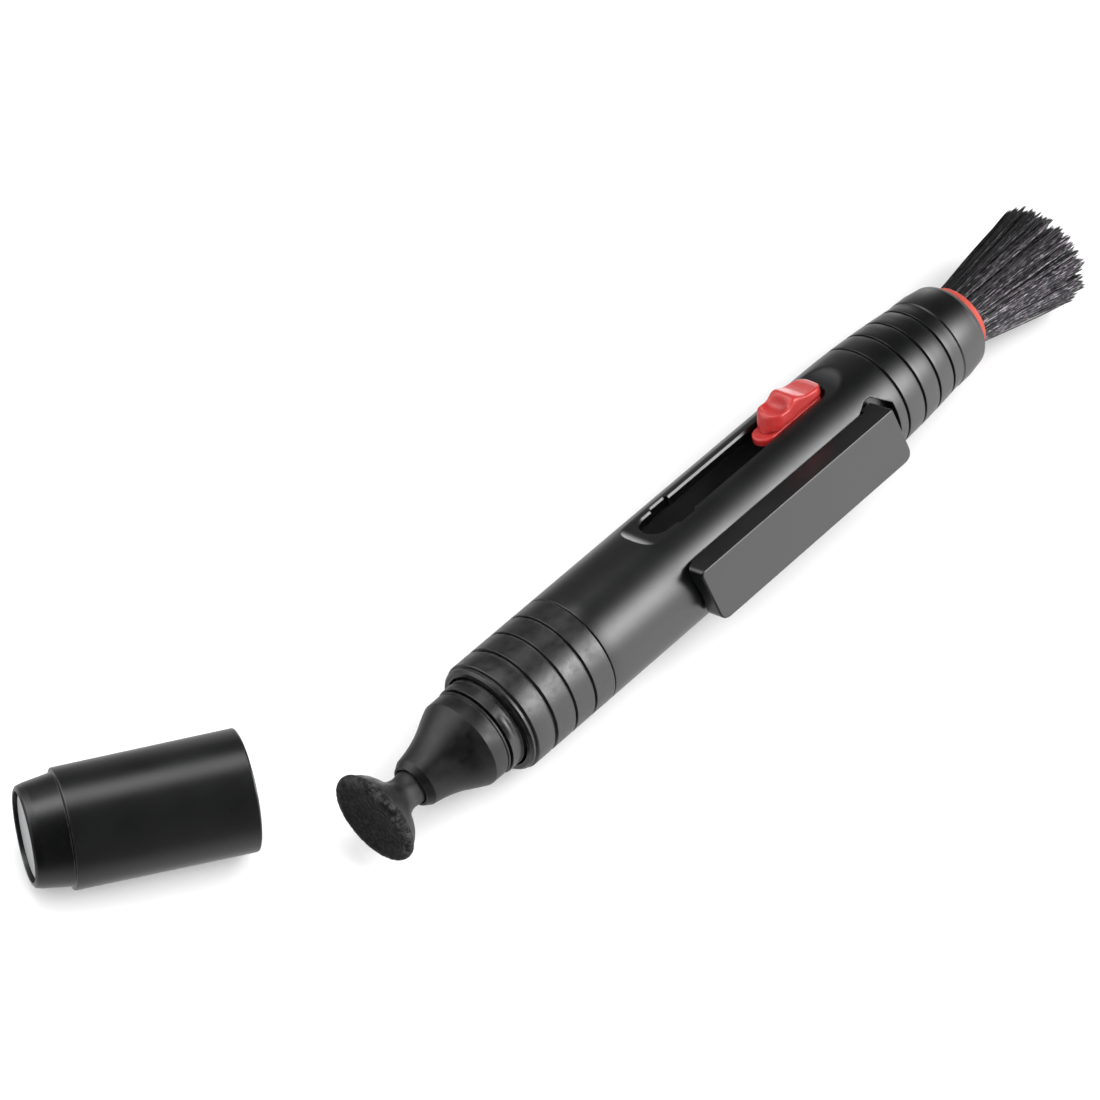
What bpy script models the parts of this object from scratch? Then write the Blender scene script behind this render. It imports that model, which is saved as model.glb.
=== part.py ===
"""Lens cleaning pen: a thumb slider pushes a retractable brush out of one end, a flexible
rubber tip with a carbon-loaded face sits at the other, and a push-on cap covers the tip.

The pen lies along +X on the plane z = 0, cleaning tip towards -X and brush towards +X.
Pen stations are measured along its axis from the seam between front sleeve and barrel.
The cap lies beside the tip; its stations run from its open end to its closed end.
"""
import math

import bmesh
import bpy
from mathutils import Vector

MM = 0.001
GAP = 0.3 * MM                      # clearance between neighbouring pieces
EDGE_BREAK = 0.12 * MM              # small chamfer on the seams
ROUND_SEGMENTS = 48                 # facets around the large turned pieces
FINE_SEGMENTS = 32                  # facets around the small ones

# Pen: where its seam station lies and how its barrel is turned
PEN_X = -11.38 * MM
PEN_Y = -10.27 * MM
PEN_RADIUS = 7.5 * MM
SLOT_TURN = math.radians(26.4)      # slot faces this far from straight up, towards +Y
CLIP_TURN = math.radians(-60.1)     # clip faces this far from straight up, towards -Y

# Barrel
BARREL_FRONT = 0.5 * GAP
TAPER_START = 49.5 * MM
TAPER_END = 66.9 * MM
TAPER_DROP = 1.08 * MM
REAR_GROOVES = (54.9 * MM, 58.3 * MM, 61.5 * MM, 64.6 * MM)
GROOVE_WIDTH = 0.5 * MM
GROOVE_DEPTH = 0.3 * MM
GROOVE_FLOOR_SHARE = 0.4            # floor of a groove over its width at the surface
GROOVE_LEAD = 1.6 * MM              # the taper gets a point this far ahead of each groove
COLLAR_STEP = 0.12 * MM
BARREL_END = 72.15 * MM
COLLAR_ROUNDING = 1.22 * MM
MOUTH_RADIUS = 4.9 * MM
REAR_BORE_RADIUS = 5.2 * MM
FRONT_BORE_RADIUS = 5.9 * MM
BORE_STEP = 44.5 * MM
BORE_RAMP = 0.7 * MM
MOUTH_START = 66.0 * MM
MOUTH_RAMP = 0.5 * MM

# Thumb recess and slider slot, cut into the barrel
RECESS_FLOOR = 6.9 * MM             # height of its flat floor over the pen's axis
RECESS_FRONT = 13.3 * MM
RECESS_REAR = 51.0 * MM
RECESS_RAMP = 3.0 * MM
SLOT_FRONT = 15.8 * MM
SLOT_REAR = 48.0 * MM
SLOT_HALF_WIDTH = 2.2 * MM
NOTCH_FRONT = 19.5 * MM
NOTCH_REAR = 22.0 * MM
NOTCH_HALF_WIDTH = 2.87 * MM
NOTCH_SLOPE = 0.4 * MM
SLOT_CUT_FLOOR = 4.5 * MM           # the slot is cut from outside down to this height
NOTCH_CUT_FLOOR = 4.35 * MM
CUT_TOP = 9.0 * MM                  # cutters reach this far over the axis

# Pocket for the clip's root: station and half width from front to rear
POCKET_HALF = ((47.7 * MM, 3.3 * MM), (48.3 * MM, 3.9 * MM), (49.8 * MM, 4.65 * MM),
               (50.8 * MM, 4.65 * MM), (53.2 * MM, 2.4 * MM))
POCKET_FLOOR = 5.75 * MM

# Front sleeve and the seat that the cap grips
SLEEVE_FRONT = -14.3 * MM
SLEEVE_CHAMFER = 0.45 * MM
SLEEVE_GROOVES = (-10.35 * MM, -6.8 * MM, -3.41 * MM)
SEAT_RADIUS = 6.1 * MM
SEAT_FRONT = -16.3 * MM
SEAT_REAR = 8.0 * MM
SEAT_BORE_RADIUS = 4.4 * MM
SNAP_RIB_COUNT = 4
SNAP_RIB_ROOT = 0.4 * MM            # the ribs start this far inside the seat
SNAP_RIB_RISE = 0.25 * MM
SNAP_RIB_LENGTH = 0.9 * MM
SNAP_RIB_SPAN = math.radians(28.0)
SNAP_RIB_FIRST = math.radians(51.0)

# Tip: cone, stem, rubber head and carbon face
CONE_FRONT = -27.3 * MM
CONE_BASE_FRONT = -18.9 * MM
CONE_BASE_RADIUS = 5.92 * MM
CONE_NOSE_RADIUS = 2.95 * MM
CONE_TAIL = -8.0 * MM
CONE_HOLE_RADIUS = 2.6 * MM
CONE_BORE_RADIUS = 3.05 * MM
CONE_HOLE_DEPTH_STATION = -21.0 * MM
CONE_CURVE = ((-26.3 * MM, 3.3 * MM), (-24.6 * MM, 3.62 * MM), (-22.6 * MM, 4.2 * MM),
              (-21.2 * MM, 4.85 * MM), (-19.8 * MM, 5.55 * MM))
TIP_PIVOT = -28.3 * MM
NECK_RADIUS = 2.1 * MM
STEM_FLANGE = 2.0 * MM
HEAD_CURVE = ((-29.2 * MM, 2.2 * MM), (-30.2 * MM, 2.8 * MM), (-30.9 * MM, 3.95 * MM),
              (-31.5 * MM, 4.8 * MM), (-32.3 * MM, 5.5 * MM))
HEAD_RADIUS = 5.85 * MM
HEAD_FRONT = -33.1 * MM
PAD_RADIUS = 5.95 * MM
PAD_FRONT = -34.2 * MM
PAD_DISH = 0.25 * MM
PAD_SIDE = 0.3 * MM

# Pocket clip
CLIP_HALF_WIDTH = 4.1 * MM
CLIP_FACE = 9.8 * MM                # height of its outer face over the pen's axis
CLIP_THICKNESS = 1.5 * MM
CLIP_FRONT_UPPER = 14.9 * MM
CLIP_FRONT_LOWER = 16.1 * MM
CLIP_REAR_UPPER = 50.6 * MM
CLIP_REAR_LOWER = 51.8 * MM
CLIP_SMALL_CORNER = 0.6 * MM
CLIP_LARGE_CORNER = 1.3 * MM
CLIP_BUMP_START = 16.6 * MM
CLIP_BUMP_END = 19.6 * MM
CLIP_RAMP = 1.5 * MM
CLIP_ROOT_START = 48.5 * MM
CLIP_ROOT_END = 50.9 * MM
CLIP_ROOT_FLOOR = 6.1 * MM
CLIP_PIVOT = 50.0 * MM
CLIP_PIVOT_HEIGHT = 7.2 * MM

# Brush: carriage, thumb button, ferrule and bristles, drawn pushed out
CARRIAGE_FRONT = 38.0 * MM
CARRIAGE_SHOULDER = 57.6 * MM
CARRIAGE_REAR = 68.0 * MM
CARRIAGE_RADIUS = 4.9 * MM
CARRIAGE_NECK_RADIUS = 4.55 * MM
CARRIAGE_BORE_RADIUS = 3.9 * MM
CARRIAGE_WALL = 0.9 * MM
CARRIAGE_WEB = 3.5 * MM             # solid web that stops the bristle plug
RIB_FRONT = 35.9 * MM
RIB_REAR = 47.3 * MM
RIB_HALF_WIDTH = 1.9 * MM
RIB_TOP = 6.55 * MM
BUTTON_BASE = RIB_TOP + GAP
BUTTON_BEVEL = 0.35 * MM
BUTTON_STEM_FRONT = 40.8 * MM
BUTTON_STEM_REAR = 44.2 * MM
BUTTON_STEM_HALF_WIDTH = 0.7 * MM
BUTTON_STEM_FLOOR = 5.6 * MM
BUTTON_STEM_TOP = 7.6 * MM
# Station, half width and top height from front to rear: the thumb rest dips, rises to a ridge
# and levels off behind it
BUTTON_SECTIONS = (
    (37.9 * MM, 1.45 * MM, 7.5 * MM), (38.3 * MM, 1.8 * MM, 8.2 * MM), (39.3 * MM, 1.95 * MM, 8.8 * MM),
    (40.4 * MM, 1.95 * MM, 8.7 * MM), (41.3 * MM, 1.95 * MM, 8.95 * MM), (42.0 * MM, 1.95 * MM, 9.5 * MM),
    (42.45 * MM, 1.95 * MM, 9.85 * MM), (42.9 * MM, 1.95 * MM, 9.65 * MM), (43.6 * MM, 1.95 * MM, 8.8 * MM),
    (44.4 * MM, 1.95 * MM, 8.6 * MM), (45.9 * MM, 1.9 * MM, 8.5 * MM), (46.8 * MM, 1.55 * MM, 8.3 * MM),
    (47.25 * MM, 1.0 * MM, 7.95 * MM), (47.4 * MM, 0.6 * MM, 7.4 * MM))
FERRULE_FRONT = CARRIAGE_REAR + GAP
FERRULE_END = 73.35 * MM
FERRULE_RADIUS = 4.6 * MM
FERRULE_BORE_RADIUS = 4.15 * MM
FERRULE_EDGE = 0.15 * MM
BRISTLE_ROOT = 70.9 * MM
BRISTLE_END = 90.0 * MM
BRISTLE_ROOT_RADIUS = 3.85 * MM
BRISTLE_END_RADIUS = 7.1 * MM

# Cap, lying beside the tip
CAP_MOUTH_X = -41.53 * MM           # centre of its open end, from the pen's seam station
CAP_MOUTH_Y = 13.03 * MM
CAP_HEADING = math.radians(150.45)  # direction of its closed end
CAP_MOUTH_RADIUS = 7.36 * MM
CAP_SHOULDER_RADIUS = 7.22 * MM
CAP_SHOULDER = 21.8 * MM
CAP_NOSE_RADIUS = 6.62 * MM
CAP_RIM_RADIUS = 6.1 * MM
CAP_LENGTH = 26.35 * MM
CAP_BORE_RADIUS = 6.5 * MM
CAP_BORE_END = 20.4 * MM
CAP_NOSE_BORE_RADIUS = 5.6 * MM
CAP_INNER_FLOOR = 24.0 * MM
CAP_RECESS_FLOOR = 24.95 * MM
CAP_RECESS_RADIUS = 5.35 * MM
CAP_PAD_FACE = 20.0 * MM
CAP_EDGE = 0.2 * MM
CUP_WALL = 0.6 * MM
CUP_FLOOR = 0.7 * MM
BADGE_THICKNESS = 0.6 * MM
SWING_REACH_X = -37.5 * MM          # open end's station once the cap is in line with the pen


def clear_scene():
    for item in list(bpy.data.objects):
        bpy.data.objects.remove(item, do_unlink=True)


def make_material(name, colour, roughness, metallic=0.0):
    finish = bpy.data.materials.new(name)
    finish.use_nodes = True
    shader = finish.node_tree.nodes["Principled BSDF"]
    shader.inputs["Base Color"].default_value = (*colour, 1.0)
    shader.inputs["Roughness"].default_value = roughness
    shader.inputs["Metallic"].default_value = metallic
    return finish


def make_empty(name, parent=None, location=(0.0, 0.0, 0.0), turn_x=0.0, turn_z=0.0):
    empty = bpy.data.objects.new(name, None)
    empty.empty_display_size = 5 * MM
    empty.parent = parent
    empty.location = location
    empty.rotation_euler = (turn_x, 0.0, turn_z)
    bpy.context.collection.objects.link(empty)
    return empty


def finish_object(name, shape, finish, parent, shift=(0.0, 0.0, 0.0)):
    """Turn a bmesh into a smooth-shaded object under its parent."""
    bmesh.ops.recalc_face_normals(shape, faces=shape.faces)
    mesh = bpy.data.meshes.new(name)
    shape.to_mesh(mesh)
    shape.free()
    mesh.shade_smooth()
    mesh.set_sharp_from_angle(angle=math.radians(35.0))
    if finish is not None:
        mesh.materials.append(finish)
    piece = bpy.data.objects.new(name, mesh)
    piece.parent = parent
    piece.location = shift
    bpy.context.collection.objects.link(piece)
    return piece


def turned(name, outline, finish, parent, shift=(0.0, 0.0, 0.0), segments=ROUND_SEGMENTS):
    """Spin a closed outline of (station, radius) points about the X axis."""
    shape = bmesh.new()
    rings = []
    for station, radius in outline:
        count = segments if radius > 0 else 1
        ring = []
        for index in range(count):
            angle = 2 * math.pi * index / segments
            ring.append(shape.verts.new((station, radius * math.sin(angle), radius * math.cos(angle))))
        rings.append(ring)
    for near, far in zip(rings, rings[1:] + rings[:1]):
        if len(near) == 1 and len(far) == 1:
            continue
        for index in range(segments):
            after = (index + 1) % segments
            corners = [near[index % len(near)], near[after % len(near)]]
            corners += [far[after % len(far)], far[index % len(far)]]
            shape.faces.new(list(dict.fromkeys(corners)))
    return finish_object(name, shape, finish, parent, shift)


def prism(name, outline, low, high, finish, parent, shift=(0.0, 0.0, 0.0)):
    """Raise a closed outline of (x, y) points from one height to another."""
    shape = bmesh.new()
    bottom = [shape.verts.new((x, y, low)) for x, y in outline]
    top = [shape.verts.new((x, y, high)) for x, y in outline]
    shape.faces.new(bottom)
    shape.faces.new(top)
    for index in range(len(outline)):
        after = (index + 1) % len(outline)
        shape.faces.new((bottom[index], bottom[after], top[after], top[index]))
    return finish_object(name, shape, finish, parent, shift)


def cross_prism(name, outline, half_width, finish, parent, shift=(0.0, 0.0, 0.0)):
    """Draw a closed outline of (x, z) points out sideways to both sides."""
    shape = bmesh.new()
    left = [shape.verts.new((x, -half_width, z)) for x, z in outline]
    right = [shape.verts.new((x, half_width, z)) for x, z in outline]
    shape.faces.new(left)
    shape.faces.new(right)
    for index in range(len(outline)):
        after = (index + 1) % len(outline)
        shape.faces.new((left[index], left[after], right[after], right[index]))
    return finish_object(name, shape, finish, parent, shift)


def arc(centre, radius, start, stop, steps):
    """Points on a circle, with angles in degrees."""
    points = []
    for index in range(steps + 1):
        angle = math.radians(start + (stop - start) * index / steps)
        points.append((centre[0] + radius * math.cos(angle), centre[1] + radius * math.sin(angle)))
    return points


def stadium(front, rear, half_width, steps=8):
    """A long outline with round ends, in plan."""
    outline = arc((rear - half_width, 0.0), half_width, -90, 90, steps)
    return outline + arc((front + half_width, 0.0), half_width, 90, 270, steps)


def boolean(target, tool, operation):
    """Combine a hidden tool body with a target piece."""
    tool.hide_render = True
    tool.display_type = "WIRE"
    change = target.modifiers.new(tool.name, "BOOLEAN")
    change.operation = operation
    change.solver = "EXACT"
    change.object = tool


def barrel_radius(station):
    """The barrel is straight, then draws in along a curve towards the brush end."""
    along = max(0.0, (station - TAPER_START) / (TAPER_END - TAPER_START))
    return PEN_RADIUS - TAPER_DROP * along ** 2


def groove(station, radius):
    half = 0.5 * GROOVE_WIDTH
    half_floor = GROOVE_FLOOR_SHARE * half
    floor = radius - GROOVE_DEPTH
    return [(station - half, radius), (station - half_floor, floor),
            (station + half_floor, floor), (station + half, radius)]


def barrel_outline():
    outline = [(BARREL_FRONT, FRONT_BORE_RADIUS), (BARREL_FRONT, PEN_RADIUS - EDGE_BREAK),
               (BARREL_FRONT + EDGE_BREAK, PEN_RADIUS), (TAPER_START, PEN_RADIUS)]
    for station in REAR_GROOVES:
        outline.append((station - GROOVE_LEAD, barrel_radius(station - GROOVE_LEAD)))
        outline += groove(station, barrel_radius(station))
    collar_radius = barrel_radius(TAPER_END) + COLLAR_STEP
    outline += [(TAPER_END, barrel_radius(TAPER_END)), (TAPER_END + COLLAR_STEP, collar_radius)]
    rounding_centre = (BARREL_END - COLLAR_ROUNDING, MOUTH_RADIUS)
    outline += arc(rounding_centre, COLLAR_ROUNDING, 90, 0, 6)
    outline += [(MOUTH_START, MOUTH_RADIUS), (MOUTH_START - MOUTH_RAMP, REAR_BORE_RADIUS)]
    outline += [(BORE_STEP, REAR_BORE_RADIUS), (BORE_STEP - BORE_RAMP, FRONT_BORE_RADIUS)]
    return outline


def build_barrel(pen, black):
    barrel = turned("barrel", barrel_outline(), black, pen)
    slot_frame = make_empty("slot_frame", pen, turn_x=-SLOT_TURN)
    clip_frame = make_empty("clip_frame", pen, turn_x=-CLIP_TURN)
    rim = 2 * PEN_RADIUS - RECESS_FLOOR
    ramp = [(RECESS_FRONT - RECESS_RAMP, rim), (RECESS_FRONT + RECESS_RAMP, RECESS_FLOOR),
            (RECESS_REAR - RECESS_RAMP, RECESS_FLOOR), (RECESS_REAR + RECESS_RAMP, rim),
            (RECESS_REAR + RECESS_RAMP, CUT_TOP), (RECESS_FRONT - RECESS_RAMP, CUT_TOP)]
    recess = cross_prism("recess_cutter", ramp, PEN_RADIUS, None, slot_frame)
    slot = prism("slot_cutter", stadium(SLOT_FRONT, SLOT_REAR, SLOT_HALF_WIDTH),
                 SLOT_CUT_FLOOR, CUT_TOP, None, slot_frame)
    notch_half = [(NOTCH_FRONT - NOTCH_SLOPE, 0.0), (NOTCH_FRONT, NOTCH_HALF_WIDTH),
                  (NOTCH_REAR, NOTCH_HALF_WIDTH), (NOTCH_REAR + NOTCH_SLOPE, 0.0)]
    notch_plan = notch_half + [(x, -y) for x, y in reversed(notch_half[1:-1])]
    notch = prism("notch_cutter", notch_plan, NOTCH_CUT_FLOOR, CUT_TOP, None, slot_frame)
    pocket_plan = list(POCKET_HALF) + [(x, -y) for x, y in reversed(POCKET_HALF)]
    pocket = prism("pocket_cutter", pocket_plan, POCKET_FLOOR, CUT_TOP, None, clip_frame)
    for tool in (recess, slot, notch, pocket):
        boolean(barrel, tool, "DIFFERENCE")


def build_front_sleeve(pen, black):
    bore = SEAT_RADIUS + GAP
    rear = -0.5 * GAP
    outline = [(SLEEVE_FRONT, bore), (SLEEVE_FRONT, PEN_RADIUS - SLEEVE_CHAMFER),
               (SLEEVE_FRONT + SLEEVE_CHAMFER, PEN_RADIUS - EDGE_BREAK)]
    for station in SLEEVE_GROOVES:
        outline += groove(station, PEN_RADIUS)
    outline += [(rear - EDGE_BREAK, PEN_RADIUS), (rear, PEN_RADIUS - EDGE_BREAK), (rear, bore)]
    turned("front_sleeve", outline, black, pen)


def arc_blocks(name, stations, radii, first, span, count, parent):
    """Short curved blocks spaced evenly round the X axis."""
    shape = bmesh.new()
    steps = 4
    for block in range(count):
        start = first + 2 * math.pi * block / count - 0.5 * span
        sections = []
        for step in range(steps + 1):
            angle = start + span * step / steps
            corners = [(stations[0], radii[0]), (stations[1], radii[0]),
                       (stations[1] - EDGE_BREAK, radii[1]), (stations[0] + 2 * EDGE_BREAK, radii[1])]
            sections.append([shape.verts.new((x, r * math.sin(angle), r * math.cos(angle)))
                             for x, r in corners])
        shape.faces.new(sections[0])
        shape.faces.new(sections[-1])
        for near, far in zip(sections, sections[1:]):
            for index in range(4):
                after = (index + 1) % 4
                shape.faces.new((near[index], near[after], far[after], far[index]))
    return finish_object(name, shape, None, parent)


def build_cap_seat(pen, black):
    tail_radius = FRONT_BORE_RADIUS - GAP
    step = -0.5 * GAP
    outline = [(SEAT_FRONT, SEAT_BORE_RADIUS), (SEAT_FRONT, SEAT_RADIUS), (step, SEAT_RADIUS),
               (step, tail_radius), (SEAT_REAR, tail_radius), (SEAT_REAR, SEAT_BORE_RADIUS)]
    seat = turned("cap_seat", outline, black, pen)
    rib_front = SEAT_FRONT + EDGE_BREAK
    stations = (rib_front, rib_front + SNAP_RIB_LENGTH)
    radii = (SEAT_RADIUS - SNAP_RIB_ROOT, SEAT_RADIUS + SNAP_RIB_RISE)
    ribs = arc_blocks("snap_rib_tool", stations, radii, SNAP_RIB_FIRST, SNAP_RIB_SPAN, SNAP_RIB_COUNT, pen)
    boolean(seat, ribs, "UNION")


def build_tip_holder(pen, black):
    rear = SEAT_FRONT - GAP
    neck = SEAT_BORE_RADIUS - GAP
    outline = [(CONE_FRONT, CONE_HOLE_RADIUS), (CONE_FRONT, CONE_NOSE_RADIUS), *CONE_CURVE,
               (CONE_BASE_FRONT, CONE_BASE_RADIUS), (rear, CONE_BASE_RADIUS), (rear, neck),
               (CONE_TAIL, neck), (CONE_TAIL, CONE_BORE_RADIUS),
               (CONE_HOLE_DEPTH_STATION, CONE_BORE_RADIUS), (CONE_HOLE_DEPTH_STATION, CONE_HOLE_RADIUS)]
    turned("tip_holder", outline, black, pen)


def build_tip_stem(pen, rubber):
    front = TIP_PIVOT + NECK_RADIUS + GAP
    flange_front = CONE_HOLE_DEPTH_STATION + GAP
    flange_rear = flange_front + STEM_FLANGE
    stem_radius = CONE_HOLE_RADIUS - GAP
    flange_radius = CONE_BORE_RADIUS - GAP
    outline = [(front, 0.0), (front, stem_radius), (flange_front, stem_radius),
               (flange_front, flange_radius), (flange_rear, flange_radius), (flange_rear, 0.0)]
    turned("tip_stem", outline, rubber, pen, segments=FINE_SEGMENTS)


def build_tip(pen, rubber, carbon):
    pivot = make_empty("tip_flex_axis", pen, (TIP_PIVOT, 0.0, 0.0))
    back = (-TIP_PIVOT, 0.0, 0.0)
    ball = arc((TIP_PIVOT, 0.0), NECK_RADIUS, 0, 90, 5)
    ball[0] = (TIP_PIVOT + NECK_RADIUS, 0.0)
    head = [*ball, *HEAD_CURVE, (HEAD_FRONT, HEAD_RADIUS), (HEAD_FRONT, 0.0)]
    turned("tip_head", head, rubber, pivot, back, FINE_SEGMENTS)
    pad_back = HEAD_FRONT - GAP
    pad_edge = pad_back - PAD_SIDE
    rounding = pad_edge - PAD_FRONT
    pad = [(pad_back, 0.0), (pad_back, PAD_RADIUS)]
    pad += arc((pad_edge, PAD_RADIUS - rounding), rounding, 90, 180, 3)
    pad.append((PAD_FRONT + PAD_DISH, 0.0))
    turned("tip_pad", pad, carbon, pivot, back, FINE_SEGMENTS)


def build_clip(pen, black):
    """The clip is moulded with its root; it bends outwards about the root."""
    pivot = make_empty("clip_flex_axis", pen, turn_x=-CLIP_TURN)
    normal = Vector((0.0, math.sin(CLIP_TURN), math.cos(CLIP_TURN)))
    pivot.location = normal * CLIP_PIVOT_HEIGHT + Vector((CLIP_PIVOT, 0.0, 0.0))
    back = (-CLIP_PIVOT, 0.0, -CLIP_PIVOT_HEIGHT)
    underside = CLIP_FACE - CLIP_THICKNESS
    over_barrel = PEN_RADIUS + GAP
    before, behind = CLIP_FRONT_UPPER - 1 * MM, CLIP_REAR_LOWER + 1 * MM
    side = [(before, CLIP_FACE), (before, over_barrel), (CLIP_BUMP_START, over_barrel),
            (CLIP_BUMP_END, underside), (CLIP_ROOT_START - CLIP_RAMP, underside),
            (CLIP_ROOT_START, over_barrel), (CLIP_ROOT_START, CLIP_ROOT_FLOOR),
            (CLIP_ROOT_END, CLIP_ROOT_FLOOR), (CLIP_ROOT_END, over_barrel),
            (behind, over_barrel + GAP), (behind, CLIP_FACE)]
    clip = cross_prism("clip", side, CLIP_HALF_WIDTH + 1 * MM, black, pivot, back)
    wide = CLIP_HALF_WIDTH
    small, large = CLIP_SMALL_CORNER, CLIP_LARGE_CORNER
    plan = arc((CLIP_FRONT_UPPER + small, wide - small), small, 180, 90, 3)
    plan.append((CLIP_REAR_UPPER, wide))
    plan += arc((CLIP_REAR_LOWER - large, -wide + large), large, 0, -90, 4)
    plan += arc((CLIP_FRONT_LOWER + large, -wide + large), large, -90, -180, 4)
    outline_tool = prism("clip_plan_tool", plan, 0.5 * PEN_RADIUS, 2 * PEN_RADIUS, None, pivot, back)
    boolean(clip, outline_tool, "INTERSECT")


def stem_plan(room):
    """Outline of the button's stem, or of its socket when given some room."""
    front, rear = BUTTON_STEM_FRONT - room, BUTTON_STEM_REAR + room
    half = BUTTON_STEM_HALF_WIDTH + room
    return [(front, -half), (rear, -half), (rear, half), (front, half)]


def build_carriage(brush_axis, red):
    front_bore = CARRIAGE_RADIUS - CARRIAGE_WALL
    web_front = CARRIAGE_SHOULDER + 0.5 * CARRIAGE_WALL
    web_rear = web_front + CARRIAGE_WEB
    outline = [(CARRIAGE_FRONT, front_bore), (CARRIAGE_FRONT, CARRIAGE_RADIUS),
               (CARRIAGE_SHOULDER, CARRIAGE_RADIUS), (CARRIAGE_SHOULDER, CARRIAGE_NECK_RADIUS),
               (CARRIAGE_REAR, CARRIAGE_NECK_RADIUS), (CARRIAGE_REAR, CARRIAGE_BORE_RADIUS),
               (web_rear, CARRIAGE_BORE_RADIUS), (web_rear, 0.0), (web_front, 0.0),
               (web_front, front_bore)]
    carriage = turned("brush_carriage", outline, red, brush_axis, segments=FINE_SEGMENTS)
    frame = make_empty("rib_frame", brush_axis, turn_x=-SLOT_TURN)
    rib = prism("rib_tool", stadium(RIB_FRONT, RIB_REAR, RIB_HALF_WIDTH, 6),
                front_bore + 0.5 * CARRIAGE_WALL, RIB_TOP, None, frame)
    socket = prism("stem_socket_tool", stem_plan(GAP), BUTTON_STEM_FLOOR - GAP, CUT_TOP, None, frame)
    boolean(carriage, rib, "UNION")
    boolean(carriage, socket, "DIFFERENCE")


def build_button(brush_axis, red):
    shape = bmesh.new()
    rings = []
    for station, half_width, top in BUTTON_SECTIONS:
        shoulder = top - BUTTON_BEVEL
        corners = [(-half_width, BUTTON_BASE), (half_width, BUTTON_BASE), (half_width, shoulder),
                   (half_width - BUTTON_BEVEL, top), (-half_width + BUTTON_BEVEL, top),
                   (-half_width, shoulder)]
        rings.append([shape.verts.new((station, y, z)) for y, z in corners])
    shape.faces.new(rings[0])
    shape.faces.new(rings[-1])
    for near, far in zip(rings, rings[1:]):
        for index in range(6):
            after = (index + 1) % 6
            shape.faces.new((near[index], near[after], far[after], far[index]))
    button = finish_object("slider_button", shape, red, brush_axis)
    button.rotation_euler.x = -SLOT_TURN
    frame = make_empty("button_frame", brush_axis, turn_x=-SLOT_TURN)
    stem = prism("button_stem_tool", stem_plan(0.0), BUTTON_STEM_FLOOR, BUTTON_STEM_TOP, None, frame)
    boolean(button, stem, "UNION")


def build_ferrule(brush_axis, red):
    outline = [(FERRULE_FRONT, FERRULE_BORE_RADIUS), (FERRULE_FRONT, CARRIAGE_NECK_RADIUS),
               (FERRULE_FRONT + FERRULE_EDGE, FERRULE_RADIUS), (FERRULE_END - FERRULE_EDGE, FERRULE_RADIUS),
               (FERRULE_END, FERRULE_RADIUS - FERRULE_EDGE), (FERRULE_END, FERRULE_BORE_RADIUS)]
    turned("brush_ferrule", outline, red, brush_axis)


def build_bristles(brush_axis, resin, hair):
    plug_radius = CARRIAGE_BORE_RADIUS - GAP
    plug_front = CARRIAGE_SHOULDER + 0.5 * CARRIAGE_WALL + CARRIAGE_WEB + GAP
    plug_rear = BRISTLE_ROOT - GAP
    plug = [(plug_front, 0.0), (plug_front, plug_radius), (plug_rear, plug_radius), (plug_rear, 0.0)]
    turned("bristle_plug", plug, resin, brush_axis, segments=FINE_SEGMENTS)
    edge = 0.8 * MM
    bundle = [(BRISTLE_ROOT, 0.0), (BRISTLE_ROOT, BRISTLE_ROOT_RADIUS), (FERRULE_END, BRISTLE_ROOT_RADIUS),
              (BRISTLE_END - edge, BRISTLE_END_RADIUS), (BRISTLE_END, BRISTLE_END_RADIUS - edge),
              (BRISTLE_END, 0.0)]
    turned("brush_bristles", bundle, hair, brush_axis, segments=FINE_SEGMENTS)


def cap_swing_centre():
    """The upright axis about which a plain turn brings the cap in line with the tip."""
    turn = math.pi - CAP_HEADING
    mouth = Vector((CAP_MOUTH_X, CAP_MOUTH_Y))
    target = Vector((SWING_REACH_X, 0.0))
    step = target - mouth
    left = Vector((-step.y, step.x))
    return (mouth + target) / 2 + left / (2 * math.tan(turn / 2))


def build_cap_shell(cap, black):
    edge = CAP_EDGE
    rim = CAP_LENGTH - 0.5 * edge
    outline = [(0.0, CAP_BORE_RADIUS + edge), (0.0, CAP_MOUTH_RADIUS - edge), (edge, CAP_MOUTH_RADIUS),
               (CAP_SHOULDER - edge, CAP_SHOULDER_RADIUS), (CAP_SHOULDER, CAP_SHOULDER_RADIUS - edge),
               (CAP_SHOULDER + edge, CAP_NOSE_RADIUS), (CAP_LENGTH - 3 * edge, CAP_RIM_RADIUS),
               (rim, CAP_RIM_RADIUS - edge), (CAP_LENGTH, CAP_RIM_RADIUS - 2 * edge),
               (rim, CAP_RECESS_RADIUS), (CAP_RECESS_FLOOR, CAP_RECESS_RADIUS),
               (CAP_RECESS_FLOOR, 0.0), (CAP_INNER_FLOOR, 0.0), (CAP_INNER_FLOOR, CAP_NOSE_BORE_RADIUS),
               (CAP_BORE_END + edge, CAP_NOSE_BORE_RADIUS), (CAP_BORE_END - edge, CAP_BORE_RADIUS),
               (edge, CAP_BORE_RADIUS)]
    turned("cap_shell", outline, black, cap)


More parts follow.
